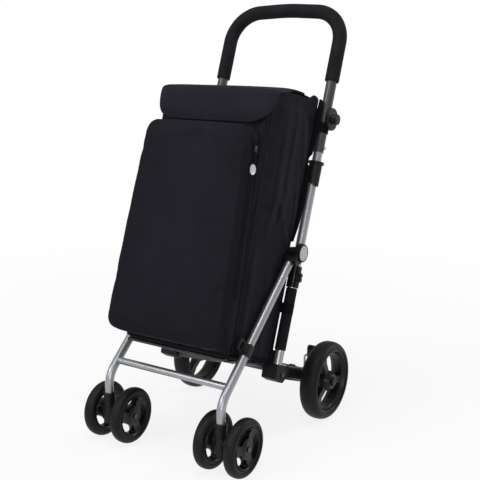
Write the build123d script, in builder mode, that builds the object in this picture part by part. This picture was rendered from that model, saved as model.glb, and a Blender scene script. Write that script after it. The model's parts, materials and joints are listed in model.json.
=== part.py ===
from build123d import *
from math import cos, radians, sin
import os

# Folding shopping trolley on wheels. Millimetres, +Z up, the front towards -Y, the floor at Z = 0
# and the origin on the floor below the middle of the trolley. Right is +X.
# The uprights lean back, so pieces on them use a leaning frame: x across, v to the rear square
# to the uprights, and u up along them from the floor.

# Overall
overall_height = 1000.0        # floor to the top of the grip
wheelbase = 374.0              # front caster axle to rear axle
front_axle_y = -226.3          # puts the origin below the middle
upright_setback = 134.0        # front caster axle to where the uprights' line meets the floor
lean_deg = 20.5                # how far the uprights lean back

# Clearances
press_gap = 0.05               # pieces that are fixed to each other
run_gap = 0.05                 # a bore round a shaft that turns in it
slide_gap = 0.3                # pieces that move past each other
cloth_gap = 0.4                # fabric beside a piece that moves past it

# Uprights and what is fixed on them, with heights along u
upright_d = 22.0
upright_wall = 1.5
bag_to_upright = 12.0          # side of the bag to the axis of an upright
foot_u = 195.0                 # lower end of an upright
sleeve_d = 26.0
sleeve_low_u = 228.0
sleeve_length = 145.0
lock_d = 29.0
lock_length = 50.0
lock_below_pivot = 30.0
button_h = 16.0                # release button in a lock collar
button_w = 9.0
button_travel = 3.0
button_proud = 3.0
boss_margin = 3.0              # boss round the button
boss_proud = 2.0
lock_lip = 2.0                 # how far a lock collar reaches past the front of the upright
collar_d = 31.0
collar_flange_d = 38.0
collar_flange_h = 6.0
collar_below = 82.0            # end of the handle tube down to a collar's lower end
collar_length = 59.0
pivot_u = 455.0                # fold pivot of the front legs
pivot_v = -20.7
bolt_d = 8.0
saddle_r = 11.5

# Handle
handle_d = 25.0
handle_wall = 1.2
handle_drop = 351.5            # crown down to the ends of the handle tube
handle_overlap = 150.0         # upright inside the handle tube
handle_travel = 30.0
handle_corner_r = 78.0
handle_crown = 9.0             # rise of the top bar at its middle
crown_r = 600.0
grip_d = 34.0
grip_drop = 179.5              # crown down to the ends of the grip
snap_d = 8.0
snap_above_end = 11.0
snap_proud = 5.0
snap_depth = 6.0               # how far the button reaches in from the tube's outside
peg_up = 81.0                  # end of the handle tube up to a peg's axis
peg_shank_d = 16.0
peg_shank_length = 4.0
peg_disc_d = 53.0
peg_disc_t = 6.0
peg_boss_d = 24.0
peg_boss_length = 13.0

# Front legs
leg_d = 20.0
leg_wall = 1.5
leg_bend_z = 163.0
leg_bend_r = 60.0
crossbar_d = 16.0
crossbar_wall = 1.5
crossbar_up = 42.0             # along the leg from its bend
cheek_r = 22.0
cheek_t = 7.2
neck_start = 16.0              # distances from the fold pivot, down the leg
neck_end = 31.0
neck_wall = 4.0
cap_d = 40.0
cap_t = 4.5
clip_from_pivot = 272.0
clip_length = 26.0
clip_wall = 3.4
clip_tab = 24.0

# Casters
caster_trail = 28.0
caster_wheel_d = 130.0
caster_wheel_w = 27.0
caster_spread = 39.0           # caster's middle to the middle of either wheel
caster_tyre_t = 14.0
caster_hub_d = 30.0
caster_axle_d = 8.0
caster_hub_gap = 0.5
caster_rim_t = 5.0
caster_rim_inset = 2.0
caster_spoke_w = 13.0
caster_spoke_inset = 4.0
caster_spoke_turn = 50.0
caster_shoulder = 8.0
axle_head_t = 2.0
socket_d = 27.0
socket_top_z = 123.0
socket_bottom_z = 92.0
socket_depth = 18.0
stem_d = 10.0
stem_length = 34.0
fork_bottom_z = 52.0
fork_arm_r = 12.0

# Rear axle and wheels
rear_wheel_d = 192.0
rear_wheel_w = 46.0
rear_wheel_outboard = 34.0     # axis of an upright to the middle of a rear wheel
rear_rim_t = 6.0
rear_rim_inset = 3.0           # rim's edge inside the tyre's side
rear_spoke_w = 16.0
rear_spoke_t = 18.0
rear_spoke_turn = 105.0
rear_shoulder = 15.0
rear_tyre_t = 18.0
rear_hub_d = 36.0
rear_hub_length = 46.0
axle_d = 10.0
beam_d = 24.0
beam_wall = 2.0
beam_to_hub = 6.0
bush_length = 20.0
axle_cap_d = 22.0
axle_cap_t = 4.0
spokes = 3

# Foot brackets and rear arms
bracket_inboard = 27.0         # axis of an upright to a bracket's inner side
bracket_width = 38.0
bracket_depth = 41.0           # below the foot of the upright
bracket_tail = 44.0            # behind the axis of the upright
arm_t = 6.0
arm_rivet_v = 14.0
arm_rivet_down = 22.0
rivet_d = 7.0

# Brake
brake_rod_d = 5.0
brake_behind = 18.0            # brake rod's axis behind the beam's axis
brake_up = 9.0
brake_crank_inboard = 33.0     # axis of an upright to a crank of the brake rod
brake_crank_h = 39.0
brake_bend_r = 9.0
brake_clip_w = 14.0
brake_clip_wall = 2.5
brake_clip_inboard = 42.0      # crank to a clip's inner side
pedal_inboard = 23.0           # axis of an upright to a pedal's inner side
pedal_bore = 13.0              # brake rod inside a pedal
pedal_w = 25.0
pedal_l = 36.0
pedal_t = 17.0

# Bag, with heights along u
bag_half = 143.0
bag_back_v = -20.5
bag_floor_depth = 180.0
bag_mouth_depth = 213.0        # the bag is deeper at its top than at its floor
bag_drop = 243.5               # crown down to the bag's rear top edge
bag_front_below = 36.0         # rear top edge down to the front top edge
panel = 3.0
base_rod_d = 8.0
base_rod_u = 187.0
base_rod_inset = 9.0           # side of the bag to a rod's axis
base_rod_reach = 190.0
pocket_top_inset = 10.0        # side of the bag to the pocket's side, at the pocket's top
pocket_low_over = 9.0          # pocket's side past the side of the bag, at the pocket's bottom
pocket_depth = 57.0
pocket_up = 14.0               # bag's lower front edge up to the pocket
pocket_corner = 24.0
pocket_below = 80.0            # bag's front top edge down to the pocket's top
pocket_round = 17.0
flap_over = 7.0                # flap's edge past the side of the bag
flap_t = 3.5
flap_drop = 72.0
flap_round = 55.0
loop_w = 24.0
loop_t = 1.6
hang_loop_below = 50.0         # bag's rear top edge down to the upper loops
sleeve_loop_up = 97.0          # sleeve's lower end up to the lower loops
loop_pad_inset = 25.0          # side of the bag to a loop pad's inner side
loop_pad_w = 18.0
zip_from_front = 40.0          # pocket's front to the zip
zip_below = 50.0               # pocket's top down to the closed slider
slider_l = 14.0
slider_w = 9.0
slider_t = 4.0
pull_d = 23.0
pull_t = 2.0
pull_drop = 44.0
pull_strip_w = 3.0
slider_floor = 1.2
slider_round = 2.0

# Places worked out from the sizes above
lean_s = sin(radians(lean_deg))
lean_c = cos(radians(lean_deg))
rear_axle_y = front_axle_y + wheelbase
upright_foot_y = front_axle_y + upright_setback
upright_x = bag_half + bag_to_upright
upright_r = upright_d / 2
handle_r = handle_d / 2
leg_r = leg_d / 2
rear_axle_z = rear_wheel_d / 2
front_axle_z = caster_wheel_d / 2
stem_y = front_axle_y - caster_trail
lock_high_u = pivot_u - lock_below_pivot
crown_u = (overall_height - grip_d / 2) / lean_c
shoulder_u = crown_u - handle_crown
handle_low_u = crown_u - handle_drop
grip_low_u = crown_u - grip_drop
peg_u = handle_low_u + peg_up
collar_low_u = handle_low_u - collar_below
collar_high_u = collar_low_u + collar_length
snap_u = handle_low_u + snap_above_end
upright_top_u = handle_low_u + handle_overlap
bag_back_top_u = crown_u - bag_drop
bag_front_top_u = bag_back_top_u - bag_front_below
front_low_v = bag_back_v - bag_floor_depth
front_top_v = bag_back_v - bag_mouth_depth
flap_half = bag_half + flap_over
hang_loop_u = bag_back_top_u - hang_loop_below
sleeve_loop_u = sleeve_low_u + sleeve_loop_up
loop_pad_x = bag_half - loop_pad_inset
pocket_low_half = bag_half + pocket_low_over
pocket_top_half = bag_half - pocket_top_inset
base_rod_x = bag_half - base_rod_inset
bracket_inner_x = upright_x - bracket_inboard
rear_wheel_x = upright_x + rear_wheel_outboard
beam_half = rear_wheel_x - rear_hub_length / 2 - beam_to_hub
brake_crank_x = upright_x - brake_crank_inboard
brake_clip_x = brake_crank_x - brake_clip_inboard
pedal_inner_x = upright_x - pedal_inboard
brake_end_x = pedal_inner_x + pedal_bore
bag_floor_u = base_rod_u + base_rod_d / 2 + press_gap
cheek_x = upright_x + upright_r + 1.8
inner_x = upright_x - leg_r - 0.6
saddle_outer_x = cheek_x - slide_gap
frame_top_x = cheek_x + cheek_t

LEAN = Plane(origin=(0, upright_foot_y, 0), x_dir=(1, 0, 0), z_dir=(0, lean_s, lean_c))
HANDLE = Plane(origin=LEAN.origin, x_dir=(1, 0, 0), z_dir=-LEAN.y_dir)
front_low = LEAN.from_local_coords(Vector(0, front_low_v, bag_floor_u))
front_top = LEAN.from_local_coords(Vector(0, front_top_v, bag_front_top_u))
FRONT = Plane(origin=front_low, x_dir=(1, 0, 0), z_dir=Vector(1, 0, 0).cross(front_top - front_low))
front_height = (front_top - front_low).length
pocket_top = front_height - pocket_below
pivot = LEAN.from_local_coords(Vector(0, pivot_v, pivot_u))
leg_bend = Vector(0, stem_y, leg_bend_z)
leg_down = (leg_bend - pivot).normalized()
crossbar_at = leg_bend - leg_down * crossbar_up

os.makedirs("parts", exist_ok=True)


def across(u):
    """Plane square to the uprights at the height u, with local x across and y to the rear."""
    return LEAN.offset(u)


def lean_side(x):
    """Upright plane facing +X at x, with local x along v and local y along u."""
    return Plane(origin=LEAN.from_local_coords(Vector(x, 0, 0)), x_dir=LEAN.y_dir, z_dir=(1, 0, 0))


def leg_side(x):
    """Plane facing +X at x, centred on the fold pivot, with local x down the leg."""
    return Plane(origin=(x, pivot.Y, pivot.Z), x_dir=leg_down, z_dir=(1, 0, 0))


def leg_across(t, x=upright_x):
    """Plane square to the front leg at the distance t down from the fold pivot."""
    centre = pivot + leg_down * t
    return Plane(origin=(x, centre.Y, centre.Z), x_dir=(1, 0, 0), z_dir=leg_down)


def side_at(x, y, z):
    """Plane facing +X at a point, with local x along Y and local y along Z."""
    return Plane(origin=(x, y, z), x_dir=(0, 1, 0), z_dir=(1, 0, 0))


def write(piece, name):
    """Name a finished piece and write it to its own file."""
    piece.label = name
    export_step(piece, f"parts/{name}.step")


def write_pair(right, name):
    """Write the right piece and its mirror image as two named pieces."""
    with BuildPart() as left:
        mirror(right, about=Plane.YZ)
    write(right, f"{name}_right")
    write(left.part, f"{name}_left")


def ring(outer_r, inner_r):
    """Sketch a ring at the current place."""
    Circle(outer_r)
    Circle(inner_r, mode=Mode.SUBTRACT)


# Uprights: straight tubes with a slot on the outer side that guides the snap button
with BuildPart() as upright:
    with BuildSketch(across(foot_u)):
        with Locations((upright_x, 0)):
            ring(upright_r, upright_r - upright_wall)
    extrude(amount=upright_top_u - foot_u)
    with BuildSketch(lean_side(upright_x)):
        with Locations((0, snap_u + handle_travel / 2)):
            SlotCenterToCenter(handle_travel, snap_d + 2 * slide_gap, rotation=90)
    extrude(amount=upright_d, mode=Mode.SUBTRACT)
write_pair(upright.part, "upright_tube")

# Moulded collars on the uprights, with a flange on top and a slanted lower edge
with BuildPart() as collars:
    with BuildSketch(across(collar_low_u)):
        with Locations((upright_x, 0)):
            Circle(collar_d / 2)
    extrude(amount=collar_length)
    with BuildSketch(across(collar_high_u - collar_flange_h)):
        with Locations((upright_x, 0)):
            Circle(collar_flange_d / 2)
    extrude(amount=collar_flange_h)
    with BuildSketch(across(collar_low_u)):
        with Locations((upright_x, 0)):
            Circle(upright_r + press_gap)
    extrude(amount=collar_length, mode=Mode.SUBTRACT)
    slant_at = LEAN.from_local_coords(Vector(upright_x, 0, collar_low_u + collar_d / 5))
    split(bisect_by=Plane(slant_at, z_dir=LEAN.z_dir + Vector(0.4, 0, 0)), keep=Keep.TOP)
    mirror(about=Plane.YZ)
write(collars.part, "upright_collars")

# Soft sleeves round the lower part of the uprights
with BuildPart() as sleeves:
    with BuildSketch(across(sleeve_low_u)):
        with Locations((upright_x, 0)):
            ring(sleeve_d / 2, upright_r + press_gap)
    extrude(amount=sleeve_length)
    mirror(about=Plane.YZ)
write(sleeves.part, "lower_sleeves")

# Lock collars below the fold pivot: open in front, with a boss outside for the release button
button_u = lock_high_u - lock_length / 2
lock_open_v = -upright_r + lock_lip
boss_outer_x = upright_x + lock_d / 2 + boss_proud
with BuildPart() as locks:
    with BuildSketch(across(lock_high_u - lock_length)):
        with Locations((upright_x, 0)):
            Circle(lock_d / 2)
    extrude(amount=lock_length)
    with BuildSketch(lean_side(upright_x)):
        with Locations((0, button_u)):
            RectangleRounded(button_w + 2 * boss_margin, button_h + 2 * boss_margin, boss_margin)
    extrude(amount=boss_outer_x - upright_x)
    with BuildSketch(across(lock_high_u - lock_length)):
        with Locations((upright_x, 0)):
            Circle(upright_r + press_gap)
        with Locations((upright_x, lock_open_v - lock_d / 2)):
            Rectangle(lock_d * 2, lock_d)
    extrude(amount=lock_length, mode=Mode.SUBTRACT)
    with BuildSketch(lean_side(upright_x + upright_r)):
        with Locations((0, button_u)):
            Rectangle(button_w + 2 * slide_gap, button_h + 2 * slide_gap)
    extrude(amount=lock_d, mode=Mode.SUBTRACT)
    mirror(about=Plane.YZ)
write(locks.part, "lock_collars")

# Release buttons in the lock collars, with a groove between two finger ridges
button_inner_x = upright_x + upright_r + slide_gap + button_travel
with BuildPart() as fold_button:
    with BuildSketch(lean_side(button_inner_x)):
        with Locations((0, button_u)):
            Rectangle(button_w, button_h)
    extrude(amount=boss_outer_x + button_proud - button_inner_x)
    with BuildSketch(lean_side(boss_outer_x + button_proud / 2)):
        with Locations((0, button_u)):
            Rectangle(button_w, button_h / 4)
    extrude(amount=button_proud, mode=Mode.SUBTRACT)
write_pair(fold_button.part, "fold_button")

# Hinge saddles: seated on the front of the uprights, each carrying a fold pivot
with BuildPart() as saddle:
    with BuildSketch(lean_side(inner_x)):
        with Locations((pivot_v, pivot_u)):
            Circle(saddle_r)
        with Locations((-upright_r, pivot_u)):
            Circle(saddle_r + 2)
        with Locations(((pivot_v - upright_r) / 2, pivot_u)):
            Rectangle(-pivot_v - upright_r, 2 * saddle_r)
        with Locations((-upright_r / 2, pivot_u)):
            Rectangle(upright_r, 2 * saddle_r + 4)
        with Locations((upright_r, pivot_u)):
            Rectangle(2 * upright_r, 4 * saddle_r, mode=Mode.SUBTRACT)
        with Locations((pivot_v, pivot_u)):
            Circle(bolt_d / 2 + press_gap, mode=Mode.SUBTRACT)
    extrude(amount=saddle_outer_x - inner_x)
    with BuildSketch(across(pivot_u - 2 * saddle_r)):
        with Locations((upright_x, 0)):
            Circle(upright_r + press_gap)
    extrude(amount=4 * saddle_r, mode=Mode.SUBTRACT)
    mirror(about=Plane.YZ)
write(saddle.part, "hinge_saddles")

# Pivot bolts through the saddles, on which the front legs fold
with BuildPart() as bolts:
    with BuildSketch(leg_side(inner_x)):
        Circle(bolt_d / 2)
    extrude(amount=frame_top_x - inner_x)
    mirror(about=Plane.YZ)
write(bolts.part, "pivot_bolts")

# Foot brackets: a block under each upright's foot, with a cheek up its inner side
bracket_outer_x = bracket_inner_x + bracket_width
bracket_top_u = foot_u - press_gap
bracket_cheek_h = sleeve_low_u - foot_u - 3.0
rivet_u = foot_u + bracket_cheek_h / 2
arm_rivet_u = foot_u - arm_rivet_down
with BuildPart() as bracket:
    with BuildSketch(lean_side(bracket_inner_x)):
        with BuildLine():
            FilletPolyline(
                (-upright_r - 6, bracket_top_u),
                (-upright_r - 4, bracket_top_u - bracket_depth * 0.85),
                (upright_r, bracket_top_u - bracket_depth),
                (bracket_tail * 0.5, bracket_top_u - bracket_depth),
                (bracket_tail, bracket_top_u - bracket_depth * 0.45),
                (bracket_tail * 0.9, bracket_top_u - 2),
                (upright_r + 6, bracket_top_u),
                radius=5,
                close=True,
            )
        make_face()
    extrude(amount=bracket_width)
    with BuildSketch(lean_side(bracket_inner_x)):
        with Locations((0, bracket_top_u + bracket_cheek_h / 2 - 4)):
            RectangleRounded(2 * upright_r, bracket_cheek_h + 8, 6)
    extrude(amount=upright_x - upright_r - press_gap - bracket_inner_x)
    with BuildSketch(lean_side(bracket_inner_x)):
        with Locations((0, rivet_u), (arm_rivet_v, arm_rivet_u)):
            Circle(rivet_d / 2 + press_gap)
    extrude(amount=bracket_width, mode=Mode.SUBTRACT)
    with BuildSketch(Plane(LEAN.from_local_coords(Vector(0, 0, base_rod_u)), x_dir=(1, 0, 0),
                           z_dir=-LEAN.y_dir)):
        with Locations((base_rod_x, 0)):
            Circle(base_rod_d / 2 + press_gap)
    extrude(amount=2 * upright_d, mode=Mode.SUBTRACT)
    mirror(about=Plane.YZ)
write(bracket.part, "foot_brackets")

# Rear arms: flat steel from the brackets back to the axle beam
arm_x = bracket_inner_x - arm_t - press_gap
with BuildPart() as arms:
    arm_front = LEAN.from_local_coords(Vector(0, arm_rivet_v, arm_rivet_u))
    with BuildSketch(side_at(arm_x, 0, 0)):
        with BuildSketch(mode=Mode.PRIVATE) as arm_ends:
            with Locations((arm_front.Y, arm_front.Z)):
                Circle(13)
            with Locations((rear_axle_y, rear_axle_z)):
                Circle(beam_d / 2 + 6)
        make_hull(arm_ends.sketch.edges())
        with Locations((rear_axle_y, rear_axle_z)):
            Circle(beam_d / 2 + press_gap, mode=Mode.SUBTRACT)
        with Locations((arm_front.Y, arm_front.Z)):
            Circle(rivet_d / 2 + press_gap, mode=Mode.SUBTRACT)
    extrude(amount=arm_t)
    mirror(about=Plane.YZ)
write(arms.part, "rear_arms")

# Rivets: uprights to brackets, and arms to brackets
with BuildPart() as rivets:
    with BuildSketch(lean_side(bracket_inner_x)):
        with Locations((0, rivet_u)):
            Circle(rivet_d / 2)
    extrude(amount=upright_x - upright_r - press_gap - bracket_inner_x)
    with BuildSketch(lean_side(arm_x - 2)):
        with Locations((arm_rivet_v, arm_rivet_u)):
            Circle(rivet_d / 2)
    extrude(amount=bracket_outer_x + 4 - arm_x)
    with BuildSketch(lean_side(arm_x - 2 - press_gap), lean_side(bracket_outer_x + press_gap)):
        with Locations((arm_rivet_v, arm_rivet_u)):
            Circle(rivet_d)
    extrude(amount=2)
    mirror(about=Plane.YZ)
write(rivets.part, "frame_rivets")

# Rear axle beam, its end bushes, the axle rod and the push-on end caps
with BuildPart() as beam:
    with BuildSketch(side_at(-beam_half, rear_axle_y, rear_axle_z)):
        ring(beam_d / 2, beam_d / 2 - beam_wall)
    extrude(amount=2 * beam_half)
write(beam.part, "axle_beam")

with BuildPart() as bushes:
    with BuildSketch(side_at(beam_half - bush_length, rear_axle_y, rear_axle_z)):
        ring(beam_d / 2 - beam_wall - press_gap, axle_d / 2 + press_gap)
    extrude(amount=bush_length)
    mirror(about=Plane.YZ)
write(bushes.part, "axle_bushes")

axle_half = rear_wheel_x + rear_hub_length / 2 + slide_gap + axle_cap_t / 2
with BuildPart() as axle:
    with BuildSketch(side_at(-axle_half, rear_axle_y, rear_axle_z)):
        Circle(axle_d / 2)
    extrude(amount=2 * axle_half)
write(axle.part, "rear_axle")

with BuildPart() as axle_caps:
    with BuildSketch(side_at(axle_half - axle_cap_t / 2, rear_axle_y, rear_axle_z)):
        Circle(axle_cap_d / 2)
    extrude(amount=axle_cap_t)
    fillet(axle_caps.faces().sort_by(Axis.X)[-1].edges(), 1.5)
    with BuildSketch(side_at(axle_half - axle_cap_t, rear_axle_y, rear_axle_z)):
        Circle(axle_d / 2 + press_gap)
    extrude(amount=axle_cap_t + press_gap, mode=Mode.SUBTRACT)
    mirror(about=Plane.YZ)
write(axle_caps.part, "axle_caps")


def wheel_rim(x, y, z, rim_r, rim_w, rim_t, hub_d, hub_l, bore_r, spoke_w, spoke_t, turn):
    """Spoked wheel centre round an axle along X: barrel, hub, spokes and bore."""
    middle = side_at(x, y, z)
    with BuildPart() as rim:
        with BuildSketch(middle):
            ring(rim_r, rim_r - rim_t)
        extrude(amount=rim_w / 2, both=True)
        with BuildSketch(middle):
            Circle(hub_d / 2)
        extrude(amount=hub_l / 2, both=True)
        with BuildSketch(middle):
            with PolarLocations((hub_d / 4 + rim_r - rim_t / 2) / 2, spokes, start_angle=turn):
                Rectangle(rim_r - rim_t / 2 - hub_d / 4, spoke_w)
        extrude(amount=spoke_t / 2, both=True)
        with BuildSketch(middle):
            Circle(bore_r)
        extrude(amount=hub_l, both=True, mode=Mode.SUBTRACT)
    return rim.part


def wheel_tyre(x, y, z, wheel_r, tyre_w, tyre_t, shoulder):
    """Ring tyre round an axle along X, with rounded shoulders."""
    with BuildPart() as tyre:
        with BuildSketch(Plane(origin=(x, y, z), x_dir=(1, 0, 0), z_dir=(0, -1, 0))) as tread:
            with Locations((0, wheel_r - tyre_t / 2)):
                Rectangle(tyre_w, tyre_t)
            fillet(tread.vertices().group_by(Axis.Y)[-1], shoulder)
        revolve(axis=Axis((x, y, z), (1, 0, 0)))
    return tyre.part


# Rear wheels
rear_rim_r = rear_wheel_d / 2 - rear_tyre_t
rear_rim = wheel_rim(rear_wheel_x, rear_axle_y, rear_axle_z, rear_rim_r - press_gap,
                     rear_wheel_w - 2 * rear_rim_inset, rear_rim_t, rear_hub_d, rear_hub_length,
                     axle_d / 2 + run_gap, rear_spoke_w, rear_spoke_t, rear_spoke_turn)
rear_tyre = wheel_tyre(rear_wheel_x, rear_axle_y, rear_axle_z, rear_wheel_d / 2, rear_wheel_w,
                       rear_tyre_t, rear_shoulder)
write_pair(rear_rim, "rear_rim")
write_pair(rear_tyre, "rear_tyre")

# Front legs: bent tubes from the fold pivots down to the casters
tube_start = neck_start + 4.5
leg_end_z = socket_top_z - socket_depth + press_gap
leg_top = pivot + leg_down * tube_start
with BuildPart() as leg:
    with BuildLine() as leg_line:
        FilletPolyline(
            (upright_x, stem_y, leg_end_z),
            (upright_x, stem_y, leg_bend_z),
            (upright_x, leg_top.Y, leg_top.Z),
            radius=leg_bend_r,
        )
    with BuildSketch(Plane(origin=(upright_x, stem_y, leg_end_z))):
        ring(leg_r, leg_r - leg_wall)
    sweep(path=leg_line.line)
write_pair(leg.part, "front_leg")

# Crossbar between the front legs, its ends shaped to the legs
with BuildPart() as crossbar:
    with BuildSketch(side_at(-upright_x, crossbar_at.Y, crossbar_at.Z)):
        ring(crossbar_d / 2, crossbar_d / 2 - crossbar_wall)
    extrude(amount=2 * upright_x)
    with BuildSketch(leg_across(2 * neck_end), leg_across(2 * neck_end, -upright_x)):
        Circle(leg_r + press_gap)
    extrude(amount=2 * (crossbar_at - pivot).length, mode=Mode.SUBTRACT)
write(crossbar.part, "front_crossbar")

# Leg heads: a round cheek outside the saddle, on a neck that holds the leg tube
with BuildPart() as head:
    with BuildSketch(leg_side(cheek_x)):
        with BuildSketch(mode=Mode.PRIVATE) as cheek_ends:
            Circle(cheek_r)
            with Locations((neck_end - 3, -neck_wall / 2)):
                Circle(3 + leg_r / 2)
        make_hull(cheek_ends.sketch.edges())
        Circle(bolt_d / 2 + run_gap, mode=Mode.SUBTRACT)
    extrude(amount=cheek_t)
    with BuildSketch(leg_side(inner_x)):
        with Locations(((neck_start + neck_end) / 2, -(neck_wall + 1) / 2)):
            Rectangle(neck_end - neck_start, 2 * leg_r + neck_wall - 1)
    extrude(amount=frame_top_x - inner_x)
    with BuildSketch(leg_across(tube_start - press_gap)):
        Circle(leg_r + press_gap)
    extrude(amount=2 * neck_end, mode=Mode.SUBTRACT)
write_pair(head.part, "leg_head")

# Caps over the fold pivots
with BuildPart() as caps:
    with BuildSketch(leg_side(frame_top_x + press_gap)):
        Circle(cap_d / 2)
    extrude(amount=cap_t)
    fillet(caps.faces().sort_by(Axis.X)[-1].edges(), 2.5)
    mirror(about=Plane.YZ)
write(caps.part, "hinge_caps")

# Clips round the front legs, flat beside the bag, each with a slotted tab towards the bag's corner
clip_outer = leg_r + clip_wall
with BuildPart() as clips:
    with BuildSketch(leg_across(clip_from_pivot - clip_length / 2)):
        Circle(clip_outer)
        with Locations((0, clip_outer / 2 + clip_tab / 2)):
            Rectangle(2 * clip_outer, clip_outer + clip_tab)
        with Locations((bag_half + cloth_gap - clip_outer - upright_x, 0)):
            Rectangle(2 * clip_outer, 4 * clip_outer + 2 * clip_tab, mode=Mode.SUBTRACT)
        with Locations((clip_outer, clip_outer + clip_tab / 2 + 4)):
            Rectangle(2 * clip_outer, clip_tab + 8, mode=Mode.SUBTRACT)
        Circle(leg_r + press_gap, mode=Mode.SUBTRACT)
    extrude(amount=clip_length)
    with BuildSketch(Plane(leg_side(bag_half).origin, x_dir=leg_down, z_dir=(1, 0, 0))):
        with Locations((clip_from_pivot, -clip_outer - clip_tab / 2 - 1)):
            RectangleRounded(clip_length - 8, clip_tab / 2 - 3, 2)
    extrude(amount=upright_x, mode=Mode.SUBTRACT)
    mirror(about=Plane.YZ)
write(clips.part, "leg_clips")

# Caster sockets: cups on the leg ends, each with the stem that its caster turns on
with BuildPart() as socket:
    with BuildSketch(Plane(origin=(upright_x, stem_y, socket_bottom_z))):
        Circle(socket_d / 2)
    extrude(amount=socket_top_z - socket_bottom_z)
    fillet(socket.faces().sort_by(Axis.Z)[-1].edges(), 1.5)
    with BuildSketch(Plane(origin=(upright_x, stem_y, socket_top_z - socket_depth))):
        Circle(leg_r + press_gap)
    extrude(amount=socket_depth, mode=Mode.SUBTRACT)
    with BuildSketch(Plane(origin=(upright_x, stem_y, socket_bottom_z))):
        Circle(stem_d / 2)
    extrude(amount=-stem_length)
write_pair(socket.part, "caster_socket")

# Caster forks: a round body on the stem with an arm back to the wheels' axle
fork_top_z = socket_bottom_z - slide_gap
fork_half = caster_spread - caster_wheel_w / 2 - 8.0
with BuildPart() as fork:
    with BuildSketch(Plane(origin=(upright_x, stem_y, fork_bottom_z))):
        Circle(socket_d / 2)
    extrude(amount=fork_top_z - fork_bottom_z)
    with BuildSketch(side_at(upright_x, 0, 0)):
        with BuildSketch(mode=Mode.PRIVATE) as arm_shape:
            with Locations((front_axle_y, front_axle_z)):
                Circle(fork_arm_r)
            with Locations((stem_y + 2, fork_bottom_z + 10)):
                Circle(fork_arm_r - 2)
            with Locations((stem_y + 2, fork_top_z - 12)):
                Circle(fork_arm_r - 2)
        make_hull(arm_shape.sketch.edges())
    extrude(amount=fork_half, both=True)
    with BuildSketch(Plane(origin=(upright_x, stem_y, fork_top_z))):
        Circle(stem_d / 2 + run_gap)
    extrude(amount=-stem_length, mode=Mode.SUBTRACT)
    with BuildSketch(side_at(upright_x, front_axle_y, front_axle_z)):
        Circle(caster_axle_d / 2 + press_gap)
    extrude(amount=caster_spread, both=True, mode=Mode.SUBTRACT)
write_pair(fork.part, "caster_fork")

# Caster axles, with a shoulder each side of the fork and a riveted head at each end
caster_hub_l = caster_wheel_w - 1.0
caster_axle_half = caster_spread + caster_hub_l / 2 + caster_hub_gap
with BuildPart() as caster_axle:
    with BuildSketch(side_at(upright_x, front_axle_y, front_axle_z)):
        Circle(caster_axle_d / 2)
    extrude(amount=caster_axle_half, both=True)
    with BuildSketch(side_at(upright_x + fork_half + press_gap, front_axle_y, front_axle_z)):
        Circle(caster_axle_d)
    extrude(amount=caster_spread - caster_hub_l / 2 - caster_hub_gap - fork_half - press_gap)
    with BuildSketch(side_at(upright_x - fork_half - press_gap, front_axle_y, front_axle_z)):
        Circle(caster_axle_d)
    extrude(amount=-(caster_spread - caster_hub_l / 2 - caster_hub_gap - fork_half - press_gap))
    with BuildSketch(side_at(upright_x + caster_axle_half, front_axle_y, front_axle_z)):
        Circle(caster_axle_d * 0.8)
    extrude(amount=axle_head_t)
    with BuildSketch(side_at(upright_x - caster_axle_half, front_axle_y, front_axle_z)):
        Circle(caster_axle_d * 0.8)
    extrude(amount=-axle_head_t)
write_pair(caster_axle.part, "caster_axle")

# Caster wheels, two on each caster
caster_rim_r = caster_wheel_d / 2 - caster_tyre_t
for place, shift in (("outer", caster_spread), ("inner", -caster_spread)):
    caster_rim = wheel_rim(upright_x + shift, front_axle_y, front_axle_z, caster_rim_r - press_gap,
                           caster_wheel_w - 2 * caster_rim_inset, caster_rim_t, caster_hub_d,
                           caster_hub_l, caster_axle_d / 2 + run_gap, caster_spoke_w,
                           caster_wheel_w - 2 * caster_spoke_inset, caster_spoke_turn)
    caster_tyre = wheel_tyre(upright_x + shift, front_axle_y, front_axle_z, caster_wheel_d / 2,
                             caster_wheel_w, caster_tyre_t, caster_shoulder)
    write_pair(caster_rim, f"caster_rim_{place}")
    write_pair(caster_tyre, f"caster_tyre_{place}")

# Brake: a rod that turns in clips behind the beam, cranked up at each end into a pedal
brake_y = rear_axle_y + brake_behind
brake_z = rear_axle_z + brake_up
brake_top_z = brake_z + brake_crank_h
with BuildPart() as brake_rod:
    with BuildLine() as brake_line:
        FilletPolyline(
            (-brake_end_x, brake_y, brake_top_z),
            (-brake_crank_x, brake_y, brake_top_z),
            (-brake_crank_x, brake_y, brake_z),
            (brake_crank_x, brake_y, brake_z),
            (brake_crank_x, brake_y, brake_top_z),
            (brake_end_x, brake_y, brake_top_z),
            radius=brake_bend_r,
        )
    with BuildSketch(side_at(-brake_end_x, brake_y, brake_top_z)):
        Circle(brake_rod_d / 2)
    sweep(path=brake_line.line)
write(brake_rod.part, "brake_rod")

with BuildPart() as pedals:
    with BuildSketch(side_at(pedal_inner_x, brake_y, brake_top_z + pedal_l / 4)):
        SlotOverall(pedal_l, pedal_t, rotation=90)
    extrude(amount=pedal_w)
    fillet(pedals.faces().filter_by(Axis.X).edges(), 3)
    with BuildSketch(side_at(pedal_inner_x, brake_y, brake_top_z)):
        Circle(brake_rod_d / 2 + press_gap)
    extrude(amount=brake_end_x + press_gap - pedal_inner_x, mode=Mode.SUBTRACT)
    mirror(about=Plane.YZ)
write(pedals.part, "brake_pedals")

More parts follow.
